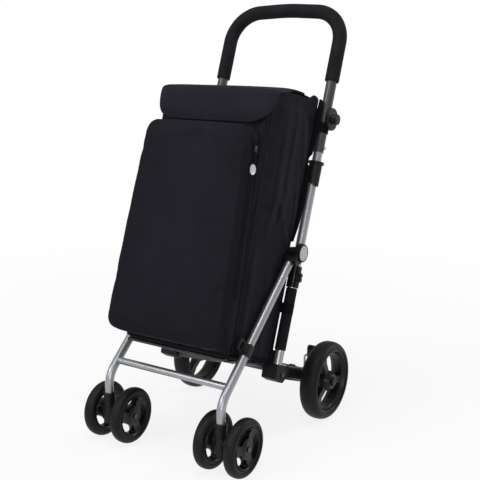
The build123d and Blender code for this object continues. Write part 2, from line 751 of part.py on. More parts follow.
with BuildPart() as brake_clips:
    with BuildSketch(side_at(brake_clip_x, 0, 0)):
        with BuildSketch(mode=Mode.PRIVATE) as clip_ends:
            with Locations((rear_axle_y, rear_axle_z)):
                Circle(beam_d / 2 + brake_clip_wall)
            with Locations((brake_y, brake_z)):
                Circle(brake_rod_d / 2 + brake_clip_wall)
        make_hull(clip_ends.sketch.edges())
        with Locations((rear_axle_y, rear_axle_z)):
            Circle(beam_d / 2 + press_gap, mode=Mode.SUBTRACT)
        with Locations((brake_y, brake_z)):
            Circle(brake_rod_d / 2 + run_gap, mode=Mode.SUBTRACT)
    extrude(amount=brake_clip_w)
    mirror(about=Plane.YZ)
write(brake_clips.part, "brake_clips")


def handle_path(low_u):
    """Middle line of the handle from one lower end, over the crown, to the other."""
    return FilletPolyline(
        (upright_x, low_u),
        (upright_x, shoulder_u),
        (0, crown_u),
        (-upright_x, shoulder_u),
        (-upright_x, low_u),
        radius=(handle_corner_r, crown_r, handle_corner_r),
    )


# Handle: a U tube that slides on the uprights, with a hole for each snap button
with BuildPart() as handle_tube:
    with BuildLine(HANDLE) as tube_line:
        handle_path(handle_low_u)
    with BuildSketch(across(handle_low_u)):
        with Locations((upright_x, 0)):
            ring(handle_r, handle_r - handle_wall)
    sweep(path=tube_line.line)
    with BuildSketch(lean_side(upright_x), lean_side(-upright_x - handle_d)):
        with Locations((0, snap_u)):
            Circle(snap_d / 2 + slide_gap)
    extrude(amount=handle_d, mode=Mode.SUBTRACT)
write(handle_tube.part, "handle_tube")

# Foam grip over the upper part of the handle
with BuildPart() as grip:
    with BuildLine(HANDLE) as grip_line:
        handle_path(grip_low_u)
    with BuildSketch(across(grip_low_u)):
        with Locations((upright_x, 0)):
            ring(grip_d / 2, handle_r + press_gap)
    sweep(path=grip_line.line)
write(grip.part, "handle_grip")

# Snap buttons: round pins through the handle tube into the slots of the uprights
with BuildPart() as snap:
    with BuildSketch(lean_side(upright_x + handle_r - snap_depth)):
        with Locations((0, snap_u)):
            Circle(snap_d / 2)
    extrude(amount=snap_depth + snap_proud)
    fillet(snap.faces().sort_by(Axis.X)[-1].edges(), 2)
write_pair(snap.part, "snap_button")

# Hanger pegs on the handle tube: a shank shaped to the tube, a round plate and a boss
peg_plate_x = upright_x + handle_r + peg_shank_length
with BuildPart() as pegs:
    with BuildSketch(lean_side(upright_x + handle_r / 2)):
        with Locations((0, peg_u)):
            Circle(peg_shank_d / 2)
    extrude(amount=peg_plate_x - upright_x - handle_r / 2)
    with BuildSketch(lean_side(peg_plate_x)):
        with Locations((0, peg_u)):
            Circle(peg_disc_d / 2)
    extrude(amount=peg_disc_t)
    fillet(pegs.faces().sort_by(Axis.X)[-1].edges(), 2)
    with BuildSketch(lean_side(peg_plate_x + peg_disc_t)):
        with Locations((0, peg_u)):
            Circle(peg_boss_d / 2)
    extrude(amount=peg_boss_length)
    with BuildSketch(across(peg_u - peg_disc_d)):
        with Locations((upright_x, 0)):
            Circle(handle_r + press_gap)
    extrude(amount=2 * peg_disc_d, mode=Mode.SUBTRACT)
    mirror(about=Plane.YZ)
write(pegs.part, "hanger_pegs")

# Base frame: two rods from the brackets and a cross rod, which carry the floor of the bag
base_rod_r = base_rod_d / 2
with BuildPart() as base_frame:
    with BuildSketch(Plane(LEAN.from_local_coords(Vector(0, 0, base_rod_u)), x_dir=(1, 0, 0),
                           z_dir=-LEAN.y_dir)):
        with Locations((base_rod_x, 0), (-base_rod_x, 0)):
            Circle(base_rod_r)
    extrude(amount=base_rod_reach)
with BuildPart() as base_cross:
    with BuildSketch(lean_side(-base_rod_x)):
        with Locations((-base_rod_reach + base_rod_r, base_rod_u)):
            Circle(base_rod_r)
    extrude(amount=2 * base_rod_x)
    with BuildSketch(Plane(LEAN.from_local_coords(Vector(0, 0, base_rod_u)), x_dir=(1, 0, 0),
                           z_dir=-LEAN.y_dir)):
        with Locations((base_rod_x, 0), (-base_rod_x, 0)):
            Circle(base_rod_r + press_gap)
    extrude(amount=2 * base_rod_reach, mode=Mode.SUBTRACT)
with BuildPart() as base_rods:
    add(base_frame.part)
    add(base_cross.part.solids().sort_by(Axis.X)[len(base_cross.part.solids()) // 2])
write(base_rods.part, "base_frame")

# Bag: sewn panels round an open inside, with a stiff floor
with BuildPart() as bag_floor:
    with BuildSketch(across(bag_floor_u)):
        with Locations((0, bag_back_v - bag_floor_depth / 2)):
            Rectangle(2 * bag_half, bag_floor_depth)
    extrude(amount=panel)
write(bag_floor.part, "bag_floor")

wall_low_u = bag_floor_u + panel
with BuildPart() as bag_side:
    with BuildSketch(lean_side(bag_half - panel)):
        with BuildLine():
            Polyline(
                (bag_back_v, wall_low_u),
                (bag_back_v, bag_back_top_u),
                (front_top_v, bag_front_top_u),
                (front_low_v, wall_low_u),
                close=True,
            )
        make_face()
    extrude(amount=panel)
write_pair(bag_side.part, "bag_side")

with BuildPart() as bag_front:
    with BuildSketch(FRONT):
        with Locations((0, front_height / 2)):
            Rectangle(2 * (bag_half - panel), front_height - 2 * (panel + press_gap))
    extrude(amount=-panel)
write(bag_front.part, "bag_front")

with BuildPart() as bag_back:
    with BuildSketch(across(wall_low_u)):
        with Locations((0, bag_back_v - panel / 2)):
            Rectangle(2 * (bag_half - panel), panel)
    extrude(amount=bag_back_top_u - panel - wall_low_u)
write(bag_back.part, "bag_back")

# Front pocket: a hollow padded box sewn to the front of the bag, wider at its bottom
with BuildPart() as pocket:
    with BuildSketch(FRONT.offset(press_gap)):
        with BuildLine():
            FilletPolyline(
                (-pocket_low_half, pocket_up),
                (pocket_low_half, pocket_up),
                (pocket_top_half, pocket_top),
                (-pocket_top_half, pocket_top),
                radius=pocket_corner,
                close=True,
            )
        make_face()
    extrude(amount=pocket_depth)
    fillet(pocket.faces().sort_by(Axis(FRONT.origin, FRONT.z_dir))[-1].edges(), pocket_round)
    offset(amount=-panel, openings=pocket.faces().sort_by(Axis(FRONT.origin, FRONT.z_dir))[0])
write(pocket.part, "front_pocket")

# Flap: covers the top of the bag and hangs down its front, with rounded corners
flap_top = front_height + cloth_gap
flap_under_u = bag_front_top_u + cloth_gap
with BuildPart() as flap:
    with BuildSketch(lean_side(-flap_half)):
        with BuildLine():
            Polyline(
                (bag_back_v, bag_back_top_u + cloth_gap),
                (front_top_v, flap_under_u),
                (front_top_v - cloth_gap - flap_t, flap_under_u),
                (front_top_v - cloth_gap - flap_t, flap_under_u + flap_t),
                (front_top_v, flap_under_u + flap_t),
                (bag_back_v, bag_back_top_u + cloth_gap + flap_t),
                close=True,
            )
        make_face()
    extrude(amount=2 * flap_half)
    with BuildSketch(FRONT.offset(cloth_gap)):
        with BuildLine():
            FilletPolyline(
                (-flap_half, flap_top - flap_drop),
                (flap_half, flap_top - flap_drop),
                (flap_half, flap_top + flap_t),
                (-flap_half, flap_top + flap_t),
                radius=(flap_round, flap_round, 0, 0),
                close=True,
            )
        make_face()
    extrude(amount=flap_t)
write(flap.part, "bag_flap")


def strap_loop(loop_u, post_r, gap):
    """Webbing round a post on the right, with a tail and a pad on the back of the bag."""
    inner_r = post_r + gap
    with BuildPart() as loop:
        with BuildSketch(across(loop_u - loop_w / 2)):
            with Locations((upright_x, 0)):
                Circle(inner_r + loop_t)
            with Locations(((loop_pad_x + upright_x) / 2, -inner_r - loop_t / 2)):
                Rectangle(upright_x - loop_pad_x, loop_t)
            pad_depth = -bag_back_v - inner_r - press_gap
            with Locations((loop_pad_x + loop_pad_w / 2, bag_back_v + press_gap + pad_depth / 2)):
                Rectangle(loop_pad_w, pad_depth)
            with Locations((upright_x, 0)):
                Circle(inner_r, mode=Mode.SUBTRACT)
        extrude(amount=loop_w)
    return loop.part


# Webbing loops that hold the bag to the handle tube above and to the sleeves below
upper_loop = strap_loop(hang_loop_u, handle_r, cloth_gap)
lower_loop = strap_loop(sleeve_loop_u, sleeve_d / 2, press_gap)
with BuildPart() as loops:
    add(upper_loop)
    add(lower_loop)
    mirror(about=Plane.YZ)
write(loops.part, "bag_loops")

# Zip slider on the right side of the pocket, and the pull tag that hangs on it
zip_edge = Vector(pocket_top_half - pocket_low_half, pocket_top - pocket_up)
zip_share = zip_below / (pocket_top - pocket_up)
zip_x = pocket_top_half - zip_edge.X * zip_share
zip_at = Vector(zip_x, pocket_top - zip_below, pocket_depth - zip_from_front)
zip_out = FRONT.x_dir * zip_edge.Y - FRONT.y_dir * zip_edge.X
ZIP = Plane(origin=FRONT.from_local_coords(zip_at), x_dir=-FRONT.z_dir, z_dir=zip_out)
with BuildPart() as slider:
    with BuildSketch(ZIP.offset(slide_gap)):
        RectangleRounded(slider_w, slider_l, slider_round)
    extrude(amount=slider_t)
    with BuildSketch(ZIP.offset(slide_gap + slider_floor)):
        with Locations((0, pull_t / 2 + slide_gap - slider_l / 2)):
            Rectangle(pull_strip_w + 2 * slide_gap, slider_l)
    extrude(amount=slider_t, mode=Mode.SUBTRACT)
write(slider.part, "zip_slider")

pull_up = 2 * slide_gap + slider_floor
with BuildPart() as pull:
    with BuildSketch(ZIP.offset(pull_up)):
        with Locations((0, -pull_drop)):
            Circle(pull_d / 2)
        with Locations((0, -pull_drop / 2)):
            Rectangle(pull_strip_w, pull_drop)
    extrude(amount=pull_t)
    pull_end = ZIP.from_local_coords(Vector(0, 0, pull_up + pull_t / 2))
    with BuildSketch(Plane(pull_end, x_dir=ZIP.z_dir, z_dir=ZIP.x_dir)):
        Circle(pull_t / 2)
    extrude(amount=pull_strip_w / 2, both=True)
write(pull.part, "zip_pull")
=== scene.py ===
import json
from functools import partial
from math import cos, exp, hypot, log, pi, radians, sin, sqrt

import bpy
from mathutils import Matrix, Vector


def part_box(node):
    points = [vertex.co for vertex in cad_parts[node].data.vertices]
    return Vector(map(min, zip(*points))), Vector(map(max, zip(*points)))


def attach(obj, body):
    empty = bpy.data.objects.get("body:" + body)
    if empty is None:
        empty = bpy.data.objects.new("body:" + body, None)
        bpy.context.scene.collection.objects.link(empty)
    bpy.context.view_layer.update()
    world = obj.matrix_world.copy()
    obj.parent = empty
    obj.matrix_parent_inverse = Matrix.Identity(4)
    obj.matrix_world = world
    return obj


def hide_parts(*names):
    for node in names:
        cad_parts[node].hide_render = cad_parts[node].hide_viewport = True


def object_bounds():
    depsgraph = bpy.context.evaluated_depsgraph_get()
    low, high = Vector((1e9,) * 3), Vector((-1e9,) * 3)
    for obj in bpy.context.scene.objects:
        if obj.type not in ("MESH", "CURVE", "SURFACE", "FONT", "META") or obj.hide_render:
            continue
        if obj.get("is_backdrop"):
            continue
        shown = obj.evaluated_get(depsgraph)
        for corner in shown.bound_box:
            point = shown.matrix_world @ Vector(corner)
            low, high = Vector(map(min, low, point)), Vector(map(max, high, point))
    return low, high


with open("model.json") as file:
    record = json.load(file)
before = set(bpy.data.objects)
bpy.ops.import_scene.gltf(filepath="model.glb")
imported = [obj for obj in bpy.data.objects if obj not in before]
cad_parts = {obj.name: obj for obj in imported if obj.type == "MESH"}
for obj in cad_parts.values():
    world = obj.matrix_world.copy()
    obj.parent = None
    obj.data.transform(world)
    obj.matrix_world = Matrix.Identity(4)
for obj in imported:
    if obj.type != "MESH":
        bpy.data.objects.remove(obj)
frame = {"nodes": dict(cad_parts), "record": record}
cad_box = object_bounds()

bl_info = {
    "name": "Shopping trolley",
    "version": (1, 0, 0),
    "blender": (4, 5, 0),
    "location": "View3D > Sidebar > Trolley",
    "description": "Dresses the frame of a folding shopping trolley with its bag, foam, wheels and finishes",
    "category": "Add Mesh",
}

MM = 0.001
SIDES = {"right": 1.0, "left": -1.0}


# Places taken from the frame

def joint(name):
    """A joint of the trolley's record."""
    return next(j for j in frame["record"]["behaviour"]["joints"] if j["name"] == name)


def corners(node):
    """Lowest and highest corner of a CAD node."""
    return [Vector(corner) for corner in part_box(node)]


# Body and material slot of each CAD node
BODY = {node: body for body, nodes in frame["record"]["behaviour"]["bodies"].items() for node in nodes}
SLOT = {piece["node"]: piece["material_slot"] for piece in frame["record"]["subparts"]}

TUBE_LOW, TUBE_HIGH = corners("upright_tube_right")
TUBE_R = (TUBE_HIGH.x - TUBE_LOW.x) / 2
UPRIGHT_X = (TUBE_LOW.x + TUBE_HIGH.x) / 2


def uprights_frame():
    """Matrix of the leaning frame: x across, v to the rear square to the uprights, u up along them."""
    up = Vector(joint("handle_slide")["axis"]).normalized()
    foot_u = (TUBE_LOW.z + TUBE_R * up.y) / up.z
    foot_y = TUBE_LOW.y - up.y * foot_u + TUBE_R * up.z
    return Matrix(((1, 0, 0, 0), (0, up.z, up.y, foot_y), (0, -up.y, up.z, 0), (0, 0, 0, 1)))


LEAN = uprights_frame()
UNLEAN = LEAN.inverted()


def lean_points(node):
    """Points of a CAD node in the leaning frame."""
    return [UNLEAN @ v.co for v in frame["nodes"][node].data.vertices]


def lean_box(node):
    """Lowest and highest corner of a CAD node in the leaning frame."""
    points = lean_points(node)
    return [Vector([end(p[i] for p in points) for i in range(3)]) for end in (min, max)]


BAG_LOW = lean_box("bag_floor")[0]
BAG_HIGH = lean_box("bag_side_right")[1]
BAG_MOUTH = min(lean_points("bag_side_right"), key=lambda p: p.y)
POCKET_POINTS = lean_points("front_pocket")
POCKET_LOW, POCKET_HIGH = lean_box("front_pocket")
POCKET_MIDDLE = (POCKET_LOW.z + POCKET_HIGH.z) / 2
POCKET_WIDE = max((p for p in POCKET_POINTS if p.z < POCKET_MIDDLE), key=lambda p: p.x)
POCKET_SLIM = max((p for p in POCKET_POINTS if p.z > POCKET_MIDDLE), key=lambda p: p.x)
FLAP_LOW, FLAP_HIGH = lean_box("bag_flap")
HINGE = UNLEAN @ Vector(joint("flap_lift")["pos_m"])
PIVOT = UNLEAN @ Vector(joint("front_fold")["pos_m"])


def between(value, start, end, low, high):
    """A value's place on the way from start to end, carried over to the way from low to high."""
    return low + (high - low) * (value - start) / (end - start)


def clamp(value, low=0.0, high=1.0):
    """A value held between two limits."""
    return max(low, min(high, value))


def ease(low, high, value):
    """A smooth step from 0 to 1 between two values."""
    t = clamp((value - low) / (high - low))
    return t * t * (3 - 2 * t)


def front_v(u):
    """Depth of the bag's slanting front at a height."""
    return between(u, BAG_LOW.z, BAG_MOUTH.z, BAG_LOW.y, BAG_MOUTH.y)


def pocket_half(u):
    """Half the pocket's width at a height; it narrows to the top."""
    return between(u, POCKET_WIDE.z, POCKET_SLIM.z, POCKET_WIDE.x, POCKET_SLIM.x)


# Sizes and colours

def from_hex(code):
    """Linear colour of an sRGB hex code."""
    values = [int(code[i:i + 2], 16) / 255 for i in (0, 2, 4)]
    return tuple(c / 12.92 if c <= 0.04045 else ((c + 0.055) / 1.055) ** 2.4 for c in values)


def length(name, description, size_mm):
    """A size that a user may change."""
    return bpy.props.FloatProperty(name=name, description=description, default=size_mm * MM, min=0.0,
                                   unit="LENGTH")


def colour(name, description, code):
    """A colour that a user may change."""
    return bpy.props.FloatVectorProperty(name=name, description=description, subtype="COLOR", size=3,
                                         min=0.0, max=1.0, default=from_hex(code))


class TrolleySizes(bpy.types.PropertyGroup):
    """Sizes of the soft pieces."""
    bag_corner: length("Bag front corner", "Radius of the bag's upright corners in front", 12)
    bag_rear_corner: length("Bag rear corner", "Radius of the bag's upright corners behind", 10)
    bag_hem: length("Bag hem", "Radius along the bag's floor", 12)
    bag_rear: length("Bag rear", "How far the bag's back swells behind its panel", 5)
    bag_swell: length("Bag swell", "How far the bag's sides swell above the fold hinges", 8)
    fold_inset: length("Fold inset", "How far the creased sides lie inside the bag's corners", 5)
    cloth_step: length("Cloth step", "Spacing of the points that the fabric is simulated with", 6)
    cloth_cap: length("Cloth movement", "Farthest that the simulation may move a point", 9)
    cloth_wall: length("Cloth wall", "Thickness of the bag's fabric with its lining", 2.4)
    pocket_corner: length("Pocket corner", "Radius of the pocket's corners in front view", 26)
    pocket_sag: length("Pocket sag", "How far the foot of the pocket hangs forward", 5)
    pocket_edge: length("Pocket edge", "Radius of the pocket's front edges", 6)
    flap_wall: length("Flap wall", "Thickness of the lined flap", 3.4)
    flap_roll: length("Flap roll", "Radius where the flap turns down over the front", 15)
    flap_past: length("Flap width", "How far the flap's side edges reach past its core", 9)
    flap_flare: length("Flap flare", "How far the flap's lower edge stands off the bag", 5)
    flap_wrap: length("Flap wrap", "How far the flap's side edges draw back round the bag", 9)
    flap_corner_w: length("Flap corner width", "Width of the sweep at the flap's lower corners", 64)
    flap_corner_h: length("Flap corner height", "Height of the sweep at the flap's lower corners", 60)
    piping: length("Piping", "Diameter of the corded seams", 3.8)


class TrolleyColours(bpy.types.PropertyGroup):
    """Colours of the finishes."""
    fabric: colour("Fabric", "Woven polyester of the bag", "1C1B21")
    lining: colour("Dark fabric", "Webbing and binding", "121115")
    silver: colour("Silver tube", "Paint of the frame tubes", "A0A2A6")
    charcoal: colour("Dark tube", "Paint of the handle tube", "4A4A4D")
    black: colour("Black steel", "Paint of the rear arms and other black steel", "18181A")
    foam: colour("Grip foam", "Closed-cell foam of the grip, and the sleeves", "1C1B1F")
    plastic: colour("Plastic", "Moulded nylon", "111113")
    rubber: colour("Rubber", "Tyres", "0F0F10")
    steel: colour("Plated steel", "Axles, rivets and the brake rod", "B4B3AE")
    cap: colour("Cap", "Hinge caps and the zip pull", "C4C6C8")


def sizes():
    """The sizes in the scene."""
    return bpy.context.scene.trolley_sizes


# Modelling

# Points nearer than this are one, in new pieces and in copies of CAD nodes
WELD = 0.01 * MM
CAD_WELD = 0.02 * MM

# Settings of the cloth simulation, and how many frames it runs
CLOTH = {
    "quality": 6, "mass": 0.25, "air_damping": 2.0, "tension_stiffness": 12, "compression_stiffness": 12,
    "shear_stiffness": 6, "bending_stiffness": 0.5, "use_pressure": True, "vertex_group_mass": "seams",
}
CLOTH_FRAMES = 18


def deselect():
    """Leave edit mode with nothing selected."""
    if bpy.context.object and bpy.context.object.mode != "OBJECT":
        bpy.ops.object.mode_set(mode="OBJECT")
    bpy.ops.object.select_all(action="DESELECT")


def pick(obj):
    """Make one object the only one selected."""
    deselect()
    obj.select_set(True)
    bpy.context.view_layer.objects.active = obj


def edit(obj, action="SELECT"):
    """Open an object in edit mode with all or nothing of its mesh selected."""
    pick(obj)
    bpy.ops.object.mode_set(mode="EDIT")
    bpy.ops.mesh.select_all(action=action)


def apply_modifier(obj, kind, **settings):
    """Add a modifier with its settings and apply it."""
    pick(obj)
    modifier = obj.modifiers.new(kind.title(), kind)
    for key, value in settings.items():
        setattr(modifier, key, value)
    bpy.ops.object.modifier_apply(modifier=modifier.name)


def soften_edges(obj, width, angle, segments=2):
    """Round all edges that are sharper than an angle in degrees."""
    apply_modifier(obj, "BEVEL", width=width, segments=segments, limit_method="ANGLE",
                   angle_limit=radians(angle))


def round_edges(obj, test, width, segments):
    """Round the edges whose middle and direction pass a test."""
    edit(obj, "DESELECT")
    bpy.ops.mesh.select_mode(type="EDGE")
    bpy.ops.object.mode_set(mode="OBJECT")
    points = obj.data.vertices
    for edge in obj.data.edges:
        a, b = (points[i].co for i in edge.vertices)
        edge.select = test((a + b) / 2, (b - a).normalized())
    bpy.ops.object.mode_set(mode="EDIT")
    bpy.ops.mesh.bevel(offset=width, segments=segments, affect="EDGES", clamp_overlap=True)
    deselect()


def new_object(name, data):
    """An object of the scene that holds some data."""
    obj = bpy.data.objects.new(name, data)
    bpy.context.collection.objects.link(obj)
    return obj


def new_mesh(name, points, edges=(), faces=()):
    """An object from points, edges and faces."""
    mesh = bpy.data.meshes.new(name)
    mesh.from_pydata(points, edges, faces)
    return new_object(name, mesh)


def new_box(name, low, high):
    """A box between two corners."""
    deselect()
    low, high = Vector(low), Vector(high)
    bpy.ops.mesh.primitive_cube_add(size=1, location=(low + high) / 2)
    obj = bpy.context.object
    obj.name = name
    obj.scale = high - low
    bpy.ops.object.transform_apply(location=True, rotation=True, scale=True)
    return obj


def new_grid(name, columns, rows, spot_at):
    """A sheet of columns by rows, each point at its spot for a place from -1 to 1 across and a row."""
    deselect()
    bpy.ops.mesh.primitive_grid_add(x_subdivisions=columns, y_subdivisions=rows, size=2)
    obj = bpy.context.object
    obj.name = name
    for point in obj.data.vertices:
        point.co = spot_at(point.co.x, round((point.co.y + 1) / 2 * rows))
    tidy_normals(obj)
    return obj


def place(obj, matrix):
    """Put an object's mesh through a matrix."""
    obj.data.transform(matrix)
    obj.data.update()


def tidy_normals(obj):
    """Merge doubled points and turn the faces outwards."""
    edit(obj)
    bpy.ops.mesh.remove_doubles(threshold=WELD)
    bpy.ops.mesh.normals_make_consistent(inside=False)
    deselect()


def tube(name, points, radius, closed=False, sides=3):
    """A round cord through points, as a mesh."""
    curve = bpy.data.curves.new(name, "CURVE")
    curve.dimensions = "3D"
    curve.bevel_depth = radius
    curve.bevel_resolution = sides
    curve.use_fill_caps = not closed
    spline = curve.splines.new("POLY")
    spline.points.add(len(points) - 1)
    for spot, co in zip(spline.points, points):
        spot.co = (*co, 1)
    spline.use_cyclic_u = closed
    pick(new_object(name, curve))
    bpy.ops.object.convert(target="MESH")
    tidy_normals(bpy.context.object)
    return bpy.context.object


def turned(name, profile, steps, centre=(0, 0, 0)):
    """A solid turned about an axis along X through a centre, from (x, radius) points."""
    points = [(centre[0] + x, centre[1], centre[2] + r) for x, r in profile]
    obj = new_mesh(name, points, [(i, (i + 1) % len(points)) for i in range(len(points))])
    edit(obj)
    bpy.ops.mesh.spin(steps=steps, angle=2 * pi, center=centre, axis=(1, 0, 0))
    tidy_normals(obj)
    return obj


def join(name, objects):
    """Join objects into one."""
    pick(objects[0])
    for obj in objects[1:]:
        obj.select_set(True)
    bpy.ops.object.join()
    bpy.context.object.name = name
    return bpy.context.object


def copy_node(node, name):
    """A merged copy of a CAD node's mesh as an object of its own."""
    obj = new_object(name, frame["nodes"][node].data.copy())
    edit(obj)
    bpy.ops.mesh.remove_doubles(threshold=CAD_WELD)
    bpy.ops.mesh.dissolve_limited(angle_limit=radians(0.6))
    deselect()
    return obj


def settle(obj, pin, pressure, growth, cap):
    """Swell and crease a fabric shell by a short cloth simulation, held where pin gives 1."""
    rest = [v.co.copy() for v in obj.data.vertices]
    group = obj.vertex_groups.new(name="seams")
    for point in obj.data.vertices:
        group.add([point.index], pin(UNLEAN @ point.co), "REPLACE")
    pick(obj)
    cloth = obj.modifiers.new("Cloth", "CLOTH")
    for key, value in CLOTH.items():
        setattr(cloth.settings, key, value)
    cloth.settings.uniform_pressure_force = pressure
    cloth.settings.shrink_min = -growth
    cloth.settings.effector_weights.gravity = 0
    cloth.point_cache.frame_start = 1
    cloth.point_cache.frame_end = CLOTH_FRAMES
    for moment in range(1, CLOTH_FRAMES + 1):
        bpy.context.scene.frame_set(moment)
    bpy.ops.object.modifier_apply(modifier=cloth.name)
    bpy.context.scene.frame_set(1)
    for point, start in zip(obj.data.vertices, rest):
        move = point.co - start
        if move.length > cap:
            point.co = start + move.normalized() * cap
    obj.vertex_groups.clear()


def set_painted_light(obj, painted_light_at):
    """Store at each point of a fabric how much darker or lighter its colour is drawn than the rest: the
    painted shade and painted highlights on the bag's folds, the flap and the pocket, and the pocket's darker
    gusset.
    """
    layer = obj.data.attributes.new("shade", "FLOAT", "POINT")
    layer.data.foreach_set("value", [painted_light_at(UNLEAN @ v.co) for v in obj.data.vertices])


def finish_piece(obj, body, finish, nodes=(), slot=None, angle=40):
    """Smooth a piece, give it its finish, and hang it on a body. The slot argument is not used."""
    pick(obj)
    bpy.ops.object.shade_smooth_by_angle(angle=radians(angle))
    obj.data.materials.clear()
    obj.data.materials.append(FINISHES[finish])
    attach(obj, body)
    slot or finish
    if nodes:
        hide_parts(*nodes)
    deselect()


def soften(node, name, width, angle=35):
    """A copy of a CAD node with its edges rounded, in place of the node."""
    obj = copy_node(node, name)
    soften_edges(obj, width, 32)
    finish_piece(obj, BODY[node], NODE_FINISH[node], (node,), SLOT[node], angle)
    return obj


# Finishes

def wire(node, inputs):
    """Set a node's inputs to values, or link them where a socket is given."""
    for key, value in inputs.items():
        if isinstance(value, bpy.types.NodeSocket):
            node.id_data.links.new(value, node.inputs[key])
        else:
            node.inputs[key].default_value = value


def add_node(tree, kind, inputs=None, out=0, stops=(), **settings):
    """Add a node with its settings, colour stops, values and links, and give one of its outputs."""
    node = tree.nodes.new("ShaderNode" + kind)
    for key, value in settings.items():
        setattr(node, key, value)
    for i, (at, tint) in enumerate(stops):
        node.color_ramp.elements[i].position = at
        node.color_ramp.elements[i].color = tint
    wire(node, inputs or {})
    return node.outputs[out]


def shades(base, low, high):
    """Colour stops that run from a darker to a lighter shade of a base colour."""
    return [(at, (*[min(1.0, c * gain) for c in base], 1)) for at, gain in ((0.3, low), (0.7, high))]


def new_finish(name):
    """A new material with its shader, the place on the piece and the function that adds its nodes."""
    material = bpy.data.materials.new(name)
    material.use_nodes = True
    add = partial(add_node, material.node_tree)
    return material, material.node_tree.nodes["Principled BSDF"], add("TexCoord", out="Object"), add


def woven_polyester(name, base, thread_mm):
    """Woven polyester: matt dull black with a faint sheen at the edges and thread by thread unevenness, its
    colour scaled by the painted shade and painted highlight stored at each point. The thread is drawn at two
    to three times its real spacing, so that it shows."""
    material, shader, where, add = new_finish(name)
    upright = add("Mapping", {"Vector": where, "Rotation": (radians(20.5), 0, 0)})
    x, y, z = add("SeparateXYZ", {"Vector": upright}).node.outputs
    waves = []
    for run in (add("Math", {0: x, 1: y}, operation="ADD"), z):
        turn = add("Math", {0: run, 1: 2 * pi / (thread_mm * MM)}, operation="MULTIPLY")
        waves.append(add("Math", {0: turn}, operation="SINE"))
    weave = add("Math", {0: waves[0], 1: waves[1]}, operation="MULTIPLY")
    cloud = add("TexNoise", {"Vector": where, "Scale": 1 / (70 * MM), "Detail": 4.0, "Roughness": 0.6})
    slub = add("TexNoise", {"Vector": where, "Scale": 1 / (3 * MM), "Detail": 3.0})
    mixed = add("Math", {0: cloud, 1: slub}, operation="ADD")
    half = add("Math", {0: mixed, 1: 0.5}, operation="MULTIPLY")
    even = add("ValToRGB", {"Fac": half}, stops=shades(base, 0.82, 1.2))
    # Painted light: the colour is scaled by one plus the painted shade and highlight stored at each point
    painted_light = add("Attribute", out="Fac", attribute_name="shade")
    gain = add("Math", {0: painted_light, 1: 1.0}, operation="ADD")
    height = add("Math", {0: weave, 1: slub}, operation="ADD")
    wire(shader, {
        "Base Color": add("VectorMath", {0: even, "Scale": gain}, operation="SCALE"),
        "Roughness": add("MapRange", {"Value": slub, "To Min": 0.62, "To Max": 0.78}),
        "Normal": add("Bump", {"Height": height, "Strength": 0.25, "Distance": 0.15 * MM}),
        "Specular IOR Level": 0.035,
        "Sheen Weight": 0.006,
        "Sheen Roughness": 0.45,
    })
    return material


def satin_paint(name, base, metallic, rough):
    """Satin metallic paint on drawn tube: a soft broad highlight along the tube, fine flake grain and a
    slight waviness of the coat."""
    material, shader, where, add = new_finish(name)
    flake = add("TexNoise", {"Vector": where, "Scale": 1 / (0.8 * MM), "Detail": 2.0})
    drift = add("TexNoise", {"Vector": where, "Scale": 1 / (40 * MM), "Detail": 3.0})
    wire(shader, {
        "Base Color": add("ValToRGB", {"Fac": flake}, stops=shades(base, 0.92, 1.08)),
        "Roughness": add("MapRange", {"Value": drift, "To Min": rough - 0.05, "To Max": rough + 0.07}),
        "Normal": add("Bump", {"Height": drift, "Strength": 0.06, "Distance": 0.3 * MM}),
        "Metallic": metallic,
    })
    return material


def moulded_nylon(name, base, rough, grain_mm):
    """Moulded nylon: dull black with a spark-eroded grain from the mould and paler rubbed patches."""
    material, shader, where, add = new_finish(name)
    grain = add("TexNoise", {"Vector": where, "Scale": 1 / (grain_mm * MM), "Detail": 2.0})
    rubbed = add("TexNoise", {"Vector": where, "Scale": 1 / (25 * MM), "Detail": 4.0})
    wire(shader, {
        "Base Color": add("ValToRGB", {"Fac": rubbed}, stops=shades(base, 0.85, 1.25)),
        "Roughness": add("MapRange", {"Value": rubbed, "To Min": rough - 0.07, "To Max": rough + 0.1}),
        "Normal": add("Bump", {"Height": grain, "Strength": 0.3, "Distance": 0.12 * MM}),
        "Specular IOR Level": 0.22,
    })
    return material


def tyre_rubber(name, base):
    """Solid rubber: matt dark grey with a pebbled skin and a dusty bloom in patches."""
    material, shader, where, add = new_finish(name)
    pebble = add("TexVoronoi", {"Vector": where, "Scale": 1 / (1.6 * MM)})
    bloom = add("TexNoise", {"Vector": where, "Scale": 1 / (18 * MM), "Detail": 5.0})
    wire(shader, {
        "Base Color": add("ValToRGB", {"Fac": bloom}, stops=shades(base, 0.8, 1.3)),
        "Roughness": add("MapRange", {"Value": bloom, "To Min": 0.42, "To Max": 0.62}),
        "Normal": add("Bump", {"Height": pebble, "Strength": 0.35, "Distance": 0.3 * MM}),
        "Specular IOR Level": 0.18,
    })
    return material


def grip_foam(name, base):
    """Closed-cell foam: very matt, with open pores of a millimetre and a half at the skin."""
    material, shader, where, add = new_finish(name)
    pores = add("TexVoronoi", {"Vector": where, "Scale": 1 / (1.5 * MM)})
    press = add("TexNoise", {"Vector": where, "Scale": 1 / (30 * MM), "Detail": 3.0})
    wire(shader, {
        "Base Color": add("ValToRGB", {"Fac": press}, stops=shades(base, 0.85, 1.2)),
        "Normal": add("Bump", {"Height": pores, "Strength": 0.4, "Distance": 0.4 * MM}),
        "Roughness": 0.85,
        "Specular IOR Level": 0.1,
    })
    return material


def plated_steel(name, base, rough):
    """Zinc-plated steel: pale metal with a cloudy spangle in its colour and its shine."""
    material, shader, where, add = new_finish(name)
    spangle = add("TexNoise", {"Vector": where, "Scale": 1 / (6 * MM), "Detail": 4.0})
    wire(shader, {
        "Base Color": add("ValToRGB", {"Fac": spangle}, stops=shades(base, 0.9, 1.06)),
        "Roughness": add("MapRange", {"Value": spangle, "To Min": rough - 0.06, "To Max": rough + 0.1}),
        "Metallic": 1.0,
    })
    return material


